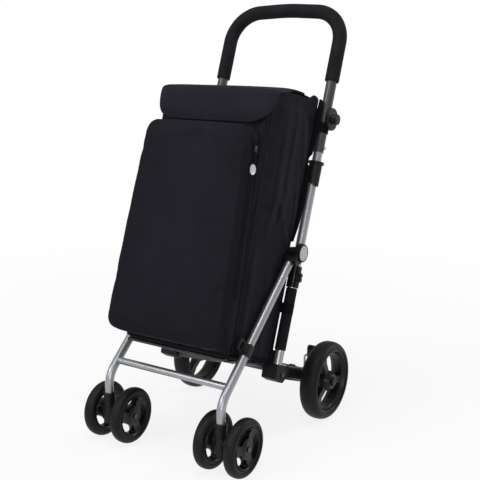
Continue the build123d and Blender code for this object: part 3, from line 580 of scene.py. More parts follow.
def hatched_cap(name, base):
    """Moulded cap with a bright silver coat: a fine crossed hatch of about two millimetres that breaks
    the highlight, and a soft cloudiness of the coat."""
    material, shader, where, add = new_finish(name)
    _, y, z = add("SeparateXYZ", {"Vector": where}).node.outputs
    waves = []
    for operation in ("ADD", "SUBTRACT"):
        line = add("Math", {0: y, 1: z}, operation=operation)
        turn = add("Math", {0: line, 1: pi / (1.5 * MM)}, operation="MULTIPLY")
        waves.append(add("Math", {0: turn}, operation="SINE"))
    hatch = add("Math", {0: waves[0], 1: waves[1]}, operation="MAXIMUM")
    cloud = add("TexNoise", {"Vector": where, "Scale": 1 / (8 * MM), "Detail": 3.0})
    mixed = add("Math", {0: hatch, 1: cloud}, operation="MULTIPLY")
    wire(shader, {
        "Base Color": add("ValToRGB", {"Fac": mixed}, stops=shades(base, 0.74, 1.1)),
        "Normal": add("Bump", {"Height": hatch, "Strength": 0.5, "Distance": 0.2 * MM}),
        "Metallic": 0.3,
        "Roughness": 0.42,
    })
    return material


FINISHES = {}

# Finish of each CAD node: its slot's, but for the blackened zip slider and the hatched hinge caps
NODE_FINISH = {**SLOT, "zip_slider": "black_steel", "hinge_caps": "hatched_cap"}


def make_finishes():
    """All finishes of the trolley, by the record's slot names and a few more."""
    c = bpy.context.scene.trolley_colours
    FINISHES.update({
        "bag_fabric": woven_polyester("Woven polyester", c.fabric, 1.4),
        "binding": woven_polyester("Binding tape", c.lining, 1.0),
        "webbing": woven_polyester("Polypropylene webbing", c.lining, 2.2),
        "sleeve_fabric": woven_polyester("Neoprene sleeve", c.foam, 1.2),
        "grip_foam": grip_foam("Closed-cell foam", c.foam),
        "silver_tube": satin_paint("Silver painted tube", c.silver, 0.85, 0.36),
        "dark_tube": satin_paint("Charcoal painted tube", c.charcoal, 0.7, 0.38),
        "black_steel": satin_paint("Black painted steel", c.black, 0.0, 0.3),
        "bright_steel": plated_steel("Zinc-plated steel", c.steel, 0.34),
        "silver_cap": satin_paint("Silver moulded cap", c.cap, 0.35, 0.4),
        "hatched_cap": hatched_cap("Hatched silver cap", c.cap),
        "tyre_rubber": tyre_rubber("Solid rubber", c.rubber),
        "black_plastic": moulded_nylon("Moulded nylon", c.plastic, 0.48, 0.9),
        "rim_plastic": moulded_nylon("Moulded rim", c.plastic, 0.36, 1.2),
    })


class TROLLEY_OT_finishes(bpy.types.Operator):
    """Make the finishes and put them on the pieces that keep their CAD form"""
    bl_idname = "trolley.finishes"
    bl_label = "Finishes"

    def execute(self, context):
        make_finishes()
        for node, finish in NODE_FINISH.items():
            mesh = frame["nodes"][node].data
            mesh.materials.clear()
            mesh.materials.append(FINISHES[finish])
        return {"FINISHED"}


# The bag's top edge: how far it lies under the panels' corners, arches up along the sides, rises at the
# rear, where the flap is slim, and falls again to the back
RIM_DROP = 3 * MM
SIDE_ARCH = 12 * MM
SIDE_HORN = 17 * MM
HORN_FALL = 6 * MM

# Stretches of the bag's outline seen from above, with their counts of steps
STRETCHES = {
    "front": 44, "front_right": 6, "right": 32, "back_right": 5,
    "back": 30, "back_left": 5, "left": 32, "front_left": 6,
}
BAG_RING = [(kind, i / count) for kind, count in STRETCHES.items() for i in range(count)]

# Rows of points over the bag's floor and round its hem
FLOOR_ROWS = 10
HEM_ROWS = 5

# Long soft folds on the bag's sides in millimetres: both ends as (v, u), depth and width
FOLDS = (
    ((-112, 765), (-98, 500), 6.4, 8),
    ((-74, 742), (-32, 640), 7.0, 8),
    ((-152, 740), (-132, 470), 5.0, 9),
    ((-62, 630), (-28, 510), 6.6, 7),
    ((-130, 570), (-38, 472), 5.6, 9),
    ((-165, 430), (-150, 235), 4.4, 9),
    ((-92, 385), (-62, 215), 4.6, 9),
)
FOLD_FADE = 40 * MM

# Painted shade and highlight of a fold per metre of its depth, and how softly the folds run into the bag's
# greatest width
FOLD_PAINTED_LIGHT = 0.09 / MM
FOLD_SOFT = 2 * MM

# How deep in from the panels a point still is one of a side's, to be creased and to take the folds' painted
# shade and highlight
CREASE_DEPTH = 12 * MM
PAINTED_LIGHT_DEPTH = 14 * MM

# How near the front corners and the back the simulation holds the fabric, and over what way it lets go
HOLD_CORNER = 16 * MM
HOLD_BACK = 8 * MM
HOLD_FADE = 14 * MM

# Corded seams as distances behind the front and out of the side, and how far they end from floor and mouth
SEAMS = ((2 * MM, 0.4 * MM), (15 * MM, 0.6 * MM))
SEAM_FOOT = 16 * MM
SEAM_HEAD = 14 * MM
SEAM_STEPS = 60


def mouth_line(v):
    """Height of the line from the bag's front top edge to the rear one, at a depth."""
    return between(v, BAG_MOUTH.y, BAG_HIGH.y, BAG_MOUTH.z, BAG_HIGH.z) - RIM_DROP


def side_top(v):
    """Height of a side panel's top edge at a depth."""
    arch = SIDE_ARCH * sin(pi * clamp((v - BAG_MOUTH.y) / (BAG_HIGH.y - BAG_MOUTH.y))) ** 0.75
    horn = SIDE_HORN * ease(HINGE.y - 60 * MM, HINGE.y - 25 * MM, v)
    fall = HORN_FALL * clamp((v - BAG_HIGH.y + 20 * MM) / (26 * MM)) ** 2
    return mouth_line(v) + arch + horn - fall


def bag_top(kind, share, v):
    """Height of the bag's top edge; the rear corners fall from the sides to the back."""
    if kind in SIDES:
        return side_top(v)
    if kind.startswith("back_"):
        from_back = 1 - share if kind == "back_right" else share
        return mouth_line(v) + (side_top(BAG_HIGH.y - 6 * MM) - mouth_line(v)) * from_back ** 1.4
    return mouth_line(v)


def bag_point(s, kind, share, u, shrink):
    """Place of a point of the bag's wall in the leaning frame, before the fabric settles."""
    if kind.endswith("left"):
        spot = bag_point(s, kind.replace("left", "right"), 1 - share, u, shrink)
        return Vector((-spot.x, spot.y, spot.z))
    half, front, back = BAG_HIGH.x - shrink, front_v(u) + shrink, BAG_HIGH.y + s.bag_rear - shrink
    f, b = s.bag_corner, s.bag_rear_corner
    turn = share * pi / 2
    if kind == "front":
        return Vector((-half + f + 2 * (half - f) * share, front, u))
    if kind == "front_right":
        return Vector((half - f + f * sin(turn), front + f - f * cos(turn), u))
    if kind == "right":
        return Vector((half, front + f + (back - b - front - f) * share, u))
    if kind == "back_right":
        return Vector((half - b + b * cos(turn), back - b + b * sin(turn), u))
    return Vector((half - b - 2 * (half - b) * share, back, u))


def fold_depth(v, u):
    """How far the long folds lift the side of the bag at a place, each with a furrow beside it."""
    lift = 0.0
    for (v0, u0), (v1, u1), depth, width in FOLDS:
        run, rise = (v1 - v0) * MM, (u1 - u0) * MM
        size = hypot(run, rise)
        along = ((v - v0 * MM) * run + (u - u0 * MM) * rise) / size
        off = ((v - v0 * MM) * rise - (u - u0 * MM) * run) / size / (width * MM)
        fade = ease(-FOLD_FADE, FOLD_FADE, along) * ease(-FOLD_FADE, FOLD_FADE, size - along)
        lift += depth * MM * fade * (exp(-off ** 2) - 0.6 * exp(-(off - 1.6) ** 2))
    return lift


def creased_x(s, spot):
    """Distance of a side's point from the middle, swollen and folded, but kept within the bag's width."""
    above = spot.z - PIVOT.z
    depth = clamp((spot.y - front_v(spot.z)) / (BAG_HIGH.y - front_v(spot.z)))
    swell = s.bag_swell * ease(25 * MM, 110 * MM, above) * sin(pi * depth) ** 0.7
    swell *= 1 - 0.5 * ease(BAG_HIGH.z - 80 * MM, BAG_HIGH.z, spot.z)
    limit = BAG_HIGH.x + swell + 3 * MM * ease(25 * MM, 60 * MM, above)
    free = ease(0.0, 0.14, depth) * ease(0.0, 0.1, 1 - depth)
    free *= ease(0.0, FOLD_FADE, mouth_line(spot.y) - spot.z)
    reach = abs(spot.x) + swell + (fold_depth(spot.y, spot.z) - s.fold_inset) * free
    room = (limit - reach) / FOLD_SOFT
    return limit - FOLD_SOFT * (log(1 + exp(room)) if room < 30 else room)


class TROLLEY_OT_bag(bpy.types.Operator):
    """Model the bag's body: a sewn shell with soft corners and creased sides, open at the top"""
    bl_idname = "trolley.bag"
    bl_label = "Bag body"

    def execute(self, context):
        s = sizes()
        low = BAG_LOW.z
        middle = Vector((0, (BAG_LOW.y + BAG_HIGH.y) / 2, low))
        wall_rows = round((BAG_HIGH.z - low) / s.cloth_step)

        def spot_at(across, row):
            kind, share = BAG_RING[round((across + 1) / 2 * len(BAG_RING)) % len(BAG_RING)]
            hem_row = row - FLOOR_ROWS
            if hem_row < 0:
                spot = middle + (bag_point(s, kind, share, low, s.bag_hem) - middle) * (row / FLOOR_ROWS)
            elif hem_row < HEM_ROWS:
                turn = pi / 2 * hem_row / (HEM_ROWS - 1)
                u = low + s.bag_hem * (1 - cos(turn))
                spot = bag_point(s, kind, share, u, s.bag_hem * (1 - sin(turn)))
            else:
                level = (hem_row - HEM_ROWS + 1) / (wall_rows + 1)
                top = bag_top(kind, share, bag_point(s, kind, share, BAG_MOUTH.z, 0).y)
                spot = bag_point(s, kind, share, low + s.bag_hem + (top - low - s.bag_hem) * level, 0)
            return LEAN @ spot

        def pin(p):
            rim = min(max(0.0, mouth_line(p.y) - p.z), abs(p.z - low))
            corner = max(0.0, hypot(BAG_HIGH.x - abs(p.x), p.y - front_v(p.z)) - HOLD_CORNER)
            return 1.0 if p.y > BAG_HIGH.y - HOLD_BACK else clamp(1 - min(rim, corner) / HOLD_FADE)

        # Painted light on the sides: each fold's ridge is drawn lighter (painted highlight) and its furrow
        # darker (painted shade), by its depth
        def shade(p):
            on_side = abs(p.x) > BAG_HIGH.x - PAINTED_LIGHT_DEPTH
            return clamp(FOLD_PAINTED_LIGHT * fold_depth(p.y, p.z), -0.4, 0.55) if on_side else 0.0

        bag = new_grid("bag_body", len(BAG_RING), FLOOR_ROWS + HEM_ROWS + wall_rows, spot_at)
        settle(bag, pin, 1.2, 0.016, s.cloth_cap)
        for point in bag.data.vertices:
            spot = UNLEAN @ point.co
            if abs(spot.x) > BAG_HIGH.x - CREASE_DEPTH:
                spot.x = creased_x(s, spot) * (1 if spot.x > 0 else -1)
            spot.y = min(BAG_HIGH.y + s.bag_rear, spot.y)
            point.co = LEAN @ spot
        set_painted_light(bag, shade)
        apply_modifier(bag, "SOLIDIFY", thickness=s.cloth_wall, offset=-1)
        pieces = [bag]
        foot, head = low + SEAM_FOOT, BAG_MOUTH.z - SEAM_HEAD
        heights = [between(i, 0, SEAM_STEPS, foot, head) for i in range(SEAM_STEPS + 1)]
        for side in SIDES.values():
            for behind, out in SEAMS:
                corner = max(0.0, s.bag_corner - behind)
                x = side * (BAG_HIGH.x - s.bag_corner + sqrt(s.bag_corner ** 2 - corner ** 2) + out)
                line = [LEAN @ Vector((x, front_v(u) + behind, u)) for u in heights]
                pieces.append(tube("seam", line, s.piping / 2))
        panels = ("bag_front", "bag_back", "bag_side_left", "bag_side_right", "bag_floor")
        finish_piece(join("bag_body", pieces), "frame", "bag_fabric", panels, angle=60)
        return {"FINISHED"}


# Pocket: how far its front lies inside its top and its foot, how deep its back goes into the bag, how near
# the bag it is held, and how much darker its gusset is than the rest
POCKET_TOP_SET = 10 * MM
POCKET_FOOT_SET = 8 * MM
POCKET_ROOT = 2 * MM
POCKET_HOLD = 14 * MM
GUSSET_DARK = 0.42


class TROLLEY_OT_pocket(bpy.types.Operator):
    """Model the pocket on the front of the bag"""
    bl_idname = "trolley.pocket"
    bl_label = "Front pocket"

    def execute(self, context):
        s = sizes()
        low, high = POCKET_LOW.z, POCKET_HIGH.z
        deep = front_v(low) - min(p.y for p in POCKET_POINTS if p.z < low + 60 * MM)

        def on_front(p, d):
            return p.y < front_v(p.z) - deep + 2 * MM and abs(d.y) < 0.5

        def pin(p):
            return 1.0 if p.y > front_v(p.z) - POCKET_HOLD else 0.0

        # Painted light on the pocket: the front panel is drawn lighter across its middle and higher up and
        # darker at its sides and foot (painted highlight and painted shade); the gusset ahead of the zip line
        # is drawn darker
        def shade(p):
            half = pocket_half(p.z)
            back = p.y - (front_v(p.z) - deep - s.pocket_sag * (high - p.z) / (high - low))
            gusset = ease(half - 9 * MM, half - 3 * MM, abs(p.x))
            panel = 1 - (abs(p.x) / half) ** 2
            fade = 1 - 0.6 * ease(36 * MM, 44 * MM, back)
            dark = GUSSET_DARK * gusset * ease(3 * MM, 9 * MM, back) * fade
            return (0.2 * panel * ease(low, low + 180 * MM, p.z) - 0.14) * (1 - gusset) - dark

        pocket = new_box("bag_pocket", (-1, -1, -1), (1, 1, 1))
        for point in pocket.data.vertices:
            top, ahead = point.co.z > 0, point.co.y < 0
            u = high - POCKET_TOP_SET * ahead if top else low + POCKET_FOOT_SET * ahead
            v = front_v(u) - deep - (0 if top else s.pocket_sag) if ahead else front_v(u) + POCKET_ROOT
            point.co = (point.co.x * pocket_half(u), v, u)
        round_edges(pocket, lambda p, d: abs(d.y) > 0.9, s.pocket_corner, 6)
        round_edges(pocket, on_front, s.pocket_edge, 4)
        apply_modifier(pocket, "REMESH", mode="VOXEL", voxel_size=s.cloth_step * 0.6)
        apply_modifier(pocket, "SMOOTH", factor=0.5, iterations=2)
        place(pocket, LEAN)
        settle(pocket, pin, 0.5, 0.012, s.cloth_cap * 0.45)
        for point in pocket.data.vertices:
            spot = UNLEAN @ point.co
            limit = pocket_half(spot.z) - 0.2 * MM
            spot.x = clamp(spot.x, -limit, limit)
            point.co = LEAN @ spot
        set_painted_light(pocket, shade)
        finish_piece(pocket, "frame", "bag_fabric", ("front_pocket",), angle=60)
        return {"FINISHED"}


# Flap: columns of points across it, how far its front stands off the bag and its roll above the mouth,
# its crown in millimetres ahead of the hinge and above it, and the angles of the points on its roll
FLAP_COLUMNS = 48
FLAP_STAND = 5 * MM
FLAP_RISE = 8 * MM
CROWN = ((-4, 0), (8, 6), (30, 6), (80, 1), (140, -6))
ROLL_ANGLES = [radians(d) for d in (8, 22, 36, 50, 64, 78, 90)]

# How the flap departs from a plain sheet: narrower over the crown and narrower still at the hinge, bulging
# in front and on the crown, and skewed across, as its right side hangs lower
CROWN_NARROW = 8 * MM
HINGE_NARROW = 13 * MM
FRONT_BULGE = 3 * MM
CROWN_BULGE = 1.5 * MM
CROWN_SKEW = 3.5 * MM


def flap_line(s):
    """Side view of the flap as (v, u) points: those over the crown and roll, and those down the front."""
    top = BAG_MOUTH.z + FLAP_RISE
    ahead = front_v(top - s.flap_roll) - FLAP_STAND
    crown = [(HINGE.y - run * MM, HINGE.z + rise * MM) for run, rise in CROWN]
    roll = [(ahead + s.flap_roll * (1 - sin(a)), top - s.flap_roll * (1 - cos(a))) for a in ROLL_ANGLES]
    over = []
    for a, b in zip(crown, crown[1:] + roll[:1]):
        over += [tuple(between(i, 0, 4, a[k], b[k]) for k in (0, 1)) for i in range(4)]
    start_v, start_u = roll[-1]
    fall = start_u - FLAP_LOW.z
    straight = fall - s.flap_corner_h
    drops = [straight * i / 4 for i in range(1, 5)]
    drops += [straight + s.flap_corner_h * sin(radians(5 * i)) for i in range(1, 19)]
    front = []
    for drop in drops:
        share = drop / fall
        v = start_v + (front_v(FLAP_LOW.z) - FLAP_STAND - start_v) * share - s.flap_flare * share * share
        front.append((v, start_u - drop))
    return over + roll, front


class TROLLEY_OT_flap(bpy.types.Operator):
    """Model the flap over the bag's mouth, with rounded corners and a bound edge"""
    bl_idname = "trolley.flap"
    bl_label = "Flap"

    def execute(self, context):
        s = sizes()
        over, front = flap_line(s)
        rows = over + front
        last = len(rows) - 1

        def spot_at(across, row):
            v, u = rows[row]
            reach = FLAP_HIGH.x + s.flap_past
            bulge = 1 - across * across
            if row >= len(over):
                past = max(0.0, (FLAP_LOW.z + s.flap_corner_h - u) / s.flap_corner_h)
                reach -= s.flap_corner_w * (1 - sqrt(max(0.0, 1 - past * past)))
                v -= FRONT_BULGE * bulge
            else:
                rear = ease(over[-1][0], HINGE.y, v)
                reach -= CROWN_NARROW * ease(0.0, 0.3, rear)
                reach -= HINGE_NARROW * (1 - ease(60 * MM, 100 * MM, HINGE.y - v))
                u += CROWN_BULGE * bulge * (row > 6) - CROWN_SKEW * across ** 3 * (1 - ease(0.0, 0.5, rear))
            x = across * reach
            wrap = max(0.0, abs(x) - BAG_HIGH.x + 20 * MM) / (30 * MM)
            return Vector((x, v + s.flap_wrap * wrap * wrap, u))

        flap = new_grid("bag_flap_cover", FLAP_COLUMNS, last, spot_at)
        apply_modifier(flap, "SOLIDIFY", thickness=s.flap_wall, offset=0)
        place(flap, LEAN)
        # Painted highlight: the flap is drawn lighter above a band along its lower edge, where the top light
        # falls
        set_painted_light(flap, lambda p: 0.34 * ease(FLAP_LOW.z - 10 * MM, FLAP_LOW.z + 50 * MM, p.z))
        sides = range(len(over), len(rows))
        edge = [spot_at(-1, row) for row in sides]
        edge += [spot_at(2 * i / FLAP_COLUMNS - 1, last) for i in range(1, FLAP_COLUMNS)]
        edge += [spot_at(1, row) for row in reversed(sides)]
        binding = tube("binding", [LEAN @ p for p in edge], s.piping / 2)
        finish_piece(join("bag_flap_cover", [flap, binding]), "flap", "bag_fabric", ("bag_flap",), angle=50)
        return {"FINISHED"}


class TROLLEY_OT_grip(bpy.types.Operator):
    """Model the foam grip of the handle"""
    bl_idname = "trolley.grip"
    bl_label = "Grip"

    def execute(self, context):
        grip = soften("handle_grip", "grip_cover", 2 * MM, 50)
        return {"FINISHED"}


def plate(name, outline, depth, thickness):
    """A flat sewn piece from (x, u) points at a depth of the leaning frame."""
    obj = new_mesh(name, [(x, depth, u) for x, u in outline], faces=[list(range(len(outline)))])
    apply_modifier(obj, "SOLIDIFY", thickness=thickness, offset=0)
    tidy_normals(obj)
    soften_edges(obj, thickness / 4, 50)
    place(obj, LEAN)
    return obj


class TROLLEY_OT_edging(bpy.types.Operator):
    """Model the dark edging of the bag: the bound rear edges that reach the tubes, and the hem"""
    bl_idname = "trolley.edging"
    bl_label = "Edging"

    def execute(self, context):
        s = sizes()
        flange = lean_box("upright_collars")[1].z
        outer = UPRIGHT_X - 1 * MM
        panel = BAG_HIGH.x
        hem_r = 2.4 * MM
        outline = [(x + out * MM, u + up * MM) for x, out, u, up in (
            (panel, -16, PIVOT.z, 24), (outer, -10, PIVOT.z, 24), (outer, -4, PIVOT.z, 60),
            (outer, 0, PIVOT.z, 110), (outer, 0, flange, -70), (outer, -3, flange, -18),
            (outer, -11, flange, -10), (outer, -11, flange, 5), (outer, -4, flange, 14),
            (outer, 0, HINGE.z, -36), (outer, -1, HINGE.z, 3), (outer, -3, HINGE.z, 10),
            (outer, -6, HINGE.z, 14), (panel, -2, HINGE.z, 16), (panel, -3, HINGE.z, -7),
            (panel, -16, HINGE.z, -7))]
        pieces = []
        for side in SIDES.values():
            pieces.append(plate("edge", [(side * x, u) for x, u in outline], BAG_HIGH.y + 4.4 * MM, 1.6 * MM))
            x = side * (BAG_HIGH.x - 7 * MM)
            fin = new_box("fin", (x - MM, BAG_HIGH.y - 4 * MM, BAG_LOW.z + 20 * MM),
                          (x + MM, BAG_HIGH.y + 21 * MM, PIVOT.z - 30 * MM))
            round_edges(fin, lambda p, d: True, 0.7 * MM, 2)
            place(fin, LEAN)
            pieces.append(fin)
        hem_u = BAG_LOW.z + s.bag_hem * 0.6
        line = [LEAN @ bag_point(s, kind, share, hem_u, hem_r) for kind, share in BAG_RING]
        pieces.append(tube("hem", line, hem_r, closed=True))
        finish_piece(join("bag_edging", pieces), "frame", "binding", slot="bag_fabric")
        return {"FINISHED"}


class TROLLEY_OT_straps(bpy.types.Operator):
    """Model the webbing loops, the soft sleeves on the uprights and the lock collars' linings"""
    bl_idname = "trolley.straps"
    bl_label = "Straps and sleeves"

    def execute(self, context):
        loops = soften("bag_loops", "webbing_loops", 0.4 * MM)
        sleeve_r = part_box("lower_sleeves")[1][0] - UPRIGHT_X
        for point in loops.data.vertices:
            spot = UNLEAN @ point.co
            arm = Vector((abs(spot.x) - UPRIGHT_X, spot.y))
            if spot.z < PIVOT.z and sleeve_r < arm.length < sleeve_r + 3 * MM:
                arm *= (sleeve_r + 0.4 * (arm.length - sleeve_r) - 0.3 * MM) / arm.length
                spot.x, spot.y = (UPRIGHT_X + arm.x) * (1 if spot.x > 0 else -1), arm.y
                point.co = LEAN @ spot
        soften("lower_sleeves", "upright_sleeves", 0.8 * MM, 50)
        low, high = lean_box("lock_collars")
        for name, side in SIDES.items():
            ends = [LEAN @ Vector((side * UPRIGHT_X, 0, u)) for u in (low.z, high.z)]
            liner = tube(f"lock_liner_{name}", ends, TUBE_R + 0.14 * MM, sides=8)
            finish_piece(liner, "frame", "black_plastic")
        return {"FINISHED"}


# Wheels in millimetres and degrees: the hub, the web with its three spokes, the barrel and the tyre's crown
WHEELS = {
    "rear": {"hub_r": 19, "hub_half": 22.5, "bore_r": 5.4, "web_t": 20, "spoke_half": 9, "turn": 105,
             "rim_t": 5.5, "crown": 15},
    "caster": {"hub_r": 17, "hub_half": 13, "bore_r": 4.2, "web_t": 21, "spoke_half": 10.5, "turn": 50,
               "rim_t": 4.5, "crown": 10},
}
SPOKES = 3
TURN_STEPS = 96


def window(inner_r, outer_r, spoke_half, start, sweep, depth, corner):
    """A cutter for one window of a wheel: a ring sector with rounded corners, along X at the origin."""
    outline = []
    for radius, order in ((inner_r, range(9)), (outer_r, range(8, -1, -1))):
        margin = spoke_half / radius
        for i in order:
            angle = start + margin + (sweep - 2 * margin) * i / 8
            outline.append((0, radius * cos(angle), radius * sin(angle)))
    obj = new_mesh("window", outline, faces=[list(range(len(outline)))])
    apply_modifier(obj, "SOLIDIFY", thickness=depth, offset=0)
    soften_edges(obj, corner, 45, 4)
    tidy_normals(obj)
    return obj


def wheel_centre(shape, rim_r, rim_w):
    """A moulded wheel centre at the origin: barrel, dished web with three windows, and hub."""
    hub_r, hub_half, bore_r, web_t, spoke_half = (
        shape[key] * MM for key in ("hub_r", "hub_half", "bore_r", "web_t", "spoke_half"))
    lip = rim_r - shape["rim_t"] * MM
    dish = 3 * MM
    bevel = 1.5 * MM
    half = [
        (rim_w / 2, rim_r), (rim_w / 2, lip + bevel), (rim_w / 2 - bevel, lip),
        (web_t / 2 + dish, lip - 1 * MM), (web_t / 2, lip - 4 * MM), (web_t / 2 - dish, (lip + hub_r) / 2),
        (web_t / 2, hub_r + 4 * MM), (hub_half - bevel, hub_r), (hub_half, hub_r - bevel), (hub_half, bore_r),
    ]
    centre = turned("centre", half + [(-x, r) for x, r in reversed(half)], TURN_STEPS)
    sweep = 2 * pi / SPOKES
    for i in range(SPOKES):
        start = radians(shape["turn"]) + i * sweep
        cutter = window(hub_r + 6 * MM, lip - 3.5 * MM, spoke_half, start, sweep, 4 * rim_w, 7 * MM)
        apply_modifier(centre, "BOOLEAN", operation="DIFFERENCE", object=cutter, solver="EXACT")
        bpy.data.objects.remove(cutter)
    soften_edges(centre, 0.9 * MM, 50)
    return centre


def wheel_tyre(tyre_r, tyre_w, rim_r, crown):
    """A solid tyre at the origin: round tread, a step on each side and a bead against the rim."""
    side, flank = tyre_w / 2, tyre_r - crown
    half = []
    for i in range(13):
        angle = pi / 2 * (1 - i / 12)
        half.append((side * cos(angle) ** 0.8, tyre_r - crown * (1 - sin(angle))))
    step = (flank + rim_r) / 2
    half += [(side, flank - 2 * MM), (side - 0.8 * MM, step), (side - 2 * MM, step - 0.8 * MM),
             (side - 2.4 * MM, rim_r)]
    return turned("tread", half + [(-x, r) for x, r in reversed(half[1:])], TURN_STEPS)


class TROLLEY_OT_wheels(bpy.types.Operator):
    """Model the rear wheels and the casters' twin wheels: tyres and windowed centres"""
    bl_idname = "trolley.wheels"
    bl_label = "Wheels"

    def execute(self, context):
        patterns = {}
        for side in SIDES:
            for sort, where in (("rear", side), ("caster", f"outer_{side}"), ("caster", f"inner_{side}")):
                rim_node, tyre_node = (f"{sort}_{part}_{where}" for part in ("rim", "tyre"))
                low, high = corners(rim_node)
                middle = (low + high) / 2
                if sort not in patterns:
                    tyre_low, tyre_high = corners(tyre_node)
                    tyre_w = tyre_high.x - tyre_low.x
                    rim_r = (high.z - low.z) / 2
                    crown = WHEELS[sort]["crown"] * MM
                    patterns[sort] = (
                        wheel_centre(WHEELS[sort], rim_r, tyre_w - 5 * MM),
                        wheel_tyre(tyre_high.z - middle.z, tyre_w, rim_r + 0.1 * MM, crown))
                centre, tread = patterns[sort]
                for pattern, node, name, finish in ((centre, rim_node, "centre", "rim_plastic"),
                                                    (tread, tyre_node, "tread", "tyre_rubber")):
                    piece = new_object(f"{BODY[node]}_{name}", pattern.data.copy())
                    place(piece, Matrix.Translation(middle))
                    finish_piece(piece, BODY[node], finish, (node,), SLOT[node], 38)
        for pair in patterns.values():
            for pattern in pair:
                bpy.data.objects.remove(pattern)
        return {"FINISHED"}


# Moulded and pressed pieces that keep their CAD form, with the radius of their edges in millimetres
MOULDED = {
    "hanger_pegs": 1.6, "upright_collars": 1.2, "lock_collars": 1.2, "foot_brackets": 2.4,
    "brake_pedals": 1.0, "brake_clips": 0.8, "leg_clips": 1.0, "hinge_caps": 1.0, "rear_arms": 0.8,
    "leg_head_right": 1.4, "caster_socket_right": 1.0, "caster_fork_right": 1.6,
    "leg_head_left": 1.4, "caster_socket_left": 1.0, "caster_fork_left": 1.6,
}

# Section of the black ring round a hinge cap in millimetres, out from the cap's face and from its edge
HINGE_RIM = ((-5, -2.6), (-5, 0.8), (-0.4, 0.8), (0.4, 0), (0.4, -1.8), (-0.4, -2.6))


class TROLLEY_OT_mouldings(bpy.types.Operator):
    """Round the edges of the moulded pieces and the steel arms, and ring the hinge caps"""
    bl_idname = "trolley.mouldings"
    bl_label = "Mouldings"

    def execute(self, context):
        low, high = corners("hinge_caps")
        cap_r = (high.z - low.z) / 2
        centre = Vector(joint("front_fold")["pos_m"])
        centre.x = 0
        section = [(high.x + x * MM, cap_r + r * MM) for x, r in HINGE_RIM]
        for name, side in SIDES.items():
            ring = turned(f"hinge_rim_{name}", section, 64, centre)
            if side < 0:
                place(ring, Matrix.Scale(-1, 4, (1, 0, 0)))
                tidy_normals(ring)
            finish_piece(ring, "front_legs", "black_plastic")
        for node, radius in MOULDED.items():
            soften(node, f"{node}_moulded", radius * MM)
        return {"FINISHED"}


# Zip: its line ahead of the slider and past its run, half its tape's width, and its cords' radii
ZIP_AHEAD = 18 * MM
ZIP_PAST = 40 * MM
TAPE_HALF = 6 * MM
TEETH_R = 0.9 * MM
PULL_CORD_R = 1.1 * MM

# The pull's disc: its radius, and its section in millimetres as height and distance in from the rim
DISC_R = 11.5 * MM
DISC = ((-1.0, 0.6), (-0.4, 0), (0.4, 0), (1.0, 0.6), (1.0, 2), (0.6, 2.6))
DISC_CORE = 0.2 * MM


class TROLLEY_OT_zip(bpy.types.Operator):
    """Model the zip's tape and teeth on the pocket's side, and its corded pull"""
    bl_idname = "trolley.zip"
    bl_label = "Zip"

    def execute(self, context):
        down = Vector(joint("zip_slide")["axis"]).normalized()
        pivot = Vector(joint("zip_pull_swing")["pos_m"])
        rear = -Vector(joint("zip_pull_swing")["axis"]).normalized()
        out = down.cross(rear).normalized()
        if out.x < 0:
            out = -out
        start = pivot - out * 2.5 * MM - down * ZIP_AHEAD
        run = joint("zip_slide")["range_m"][1] + ZIP_PAST
        lines = []
        for name, offset in (("teeth", 0), ("tape", -TAPE_HALF), ("tape", TAPE_HALF)):
            line = [start + rear * offset + down * run * i / 40 for i in range(41)]
            lines.append(tube(name, line, TEETH_R, sides=2))
        finish_piece(join("zip_tape", lines), "frame", "bag_fabric")
        reach = max((v.co - pivot).dot(down) for v in frame["nodes"]["zip_pull"].data.vertices)
        section = [(x * MM, DISC_R - inset * MM) for x, inset in DISC]
        section = [(section[0][0], DISC_CORE), *section, (section[-1][0], DISC_CORE)]
        disc = turned("disc", section, 48)
        facing = Vector((1, 0, 0)).rotation_difference(out).to_matrix().to_4x4()
        place(disc, Matrix.Translation(pivot + down * (reach - DISC_R)) @ facing)
        finish_piece(disc, "zip_pull", "silver_cap", ("zip_pull",))
        line = [pivot + down * (reach - 2 * DISC_R) * i / 8 for i in range(9)]
        finish_piece(tube("zip_cord", line, PULL_CORD_R), "zip_pull", "binding", slot="bag_fabric")
        return {"FINISHED"}


# Lamps: place, aim, width in metres and watts
LAMPS = {
    "key": ((-1.4, -2.9, 2.4), (0, 0, 0.5), 1.4, 50),
    "side": ((1.7, -2.6, 1.1), (0, 0, 0.55), 0.7, 20),
    "back": ((2.0, 2.6, 1.9), (0, 0, 0.6), 0.9, 36),
    "top": ((0.1, -0.7, 3.3), (0, 0, 0.4), 1.8, 48),
}

# Camera fitted to the photograph
CAMERA_AT = (1.1395, -1.6857, 0.9005)
CAMERA_TURN = (radians(90 - 12.662), 0, radians(33.744))
CAMERA_LENS = {"lens": 66.4, "sensor_width": 36, "shift_x": 0.0168, "shift_y": 0.0075}


def paper_floor():
    """White paper sweep: matt, with a soft shadow round the wheels, and burnt out to white farther off."""
    material, shader, where, add = new_finish("Paper floor")
    wire(shader, {"Base Color": (0.86, 0.86, 0.86, 1), "Roughness": 0.9})
    reach = add("VectorMath", {0: where}, out="Value", operation="LENGTH")
    fade = add("MapRange", {"Value": reach, "From Min": 0.5, "From Max": 2.2, "To Min": 0.84})
    path = add("LightPath").node.outputs
    seen = add("Math", {0: path["Is Camera Ray"], 1: path["Is Glossy Ray"]}, operation="MAXIMUM")
    share = add("Math", {0: fade, 1: seen}, operation="MULTIPLY")
    white = add("Emission", {"Color": (1, 1, 1, 1), "Strength": 1.0})
    mix = add("MixShader", {"Fac": share, 1: shader.outputs["BSDF"], 2: white})
    wire(material.node_tree.nodes["Material Output"], {"Surface": mix})
    return material


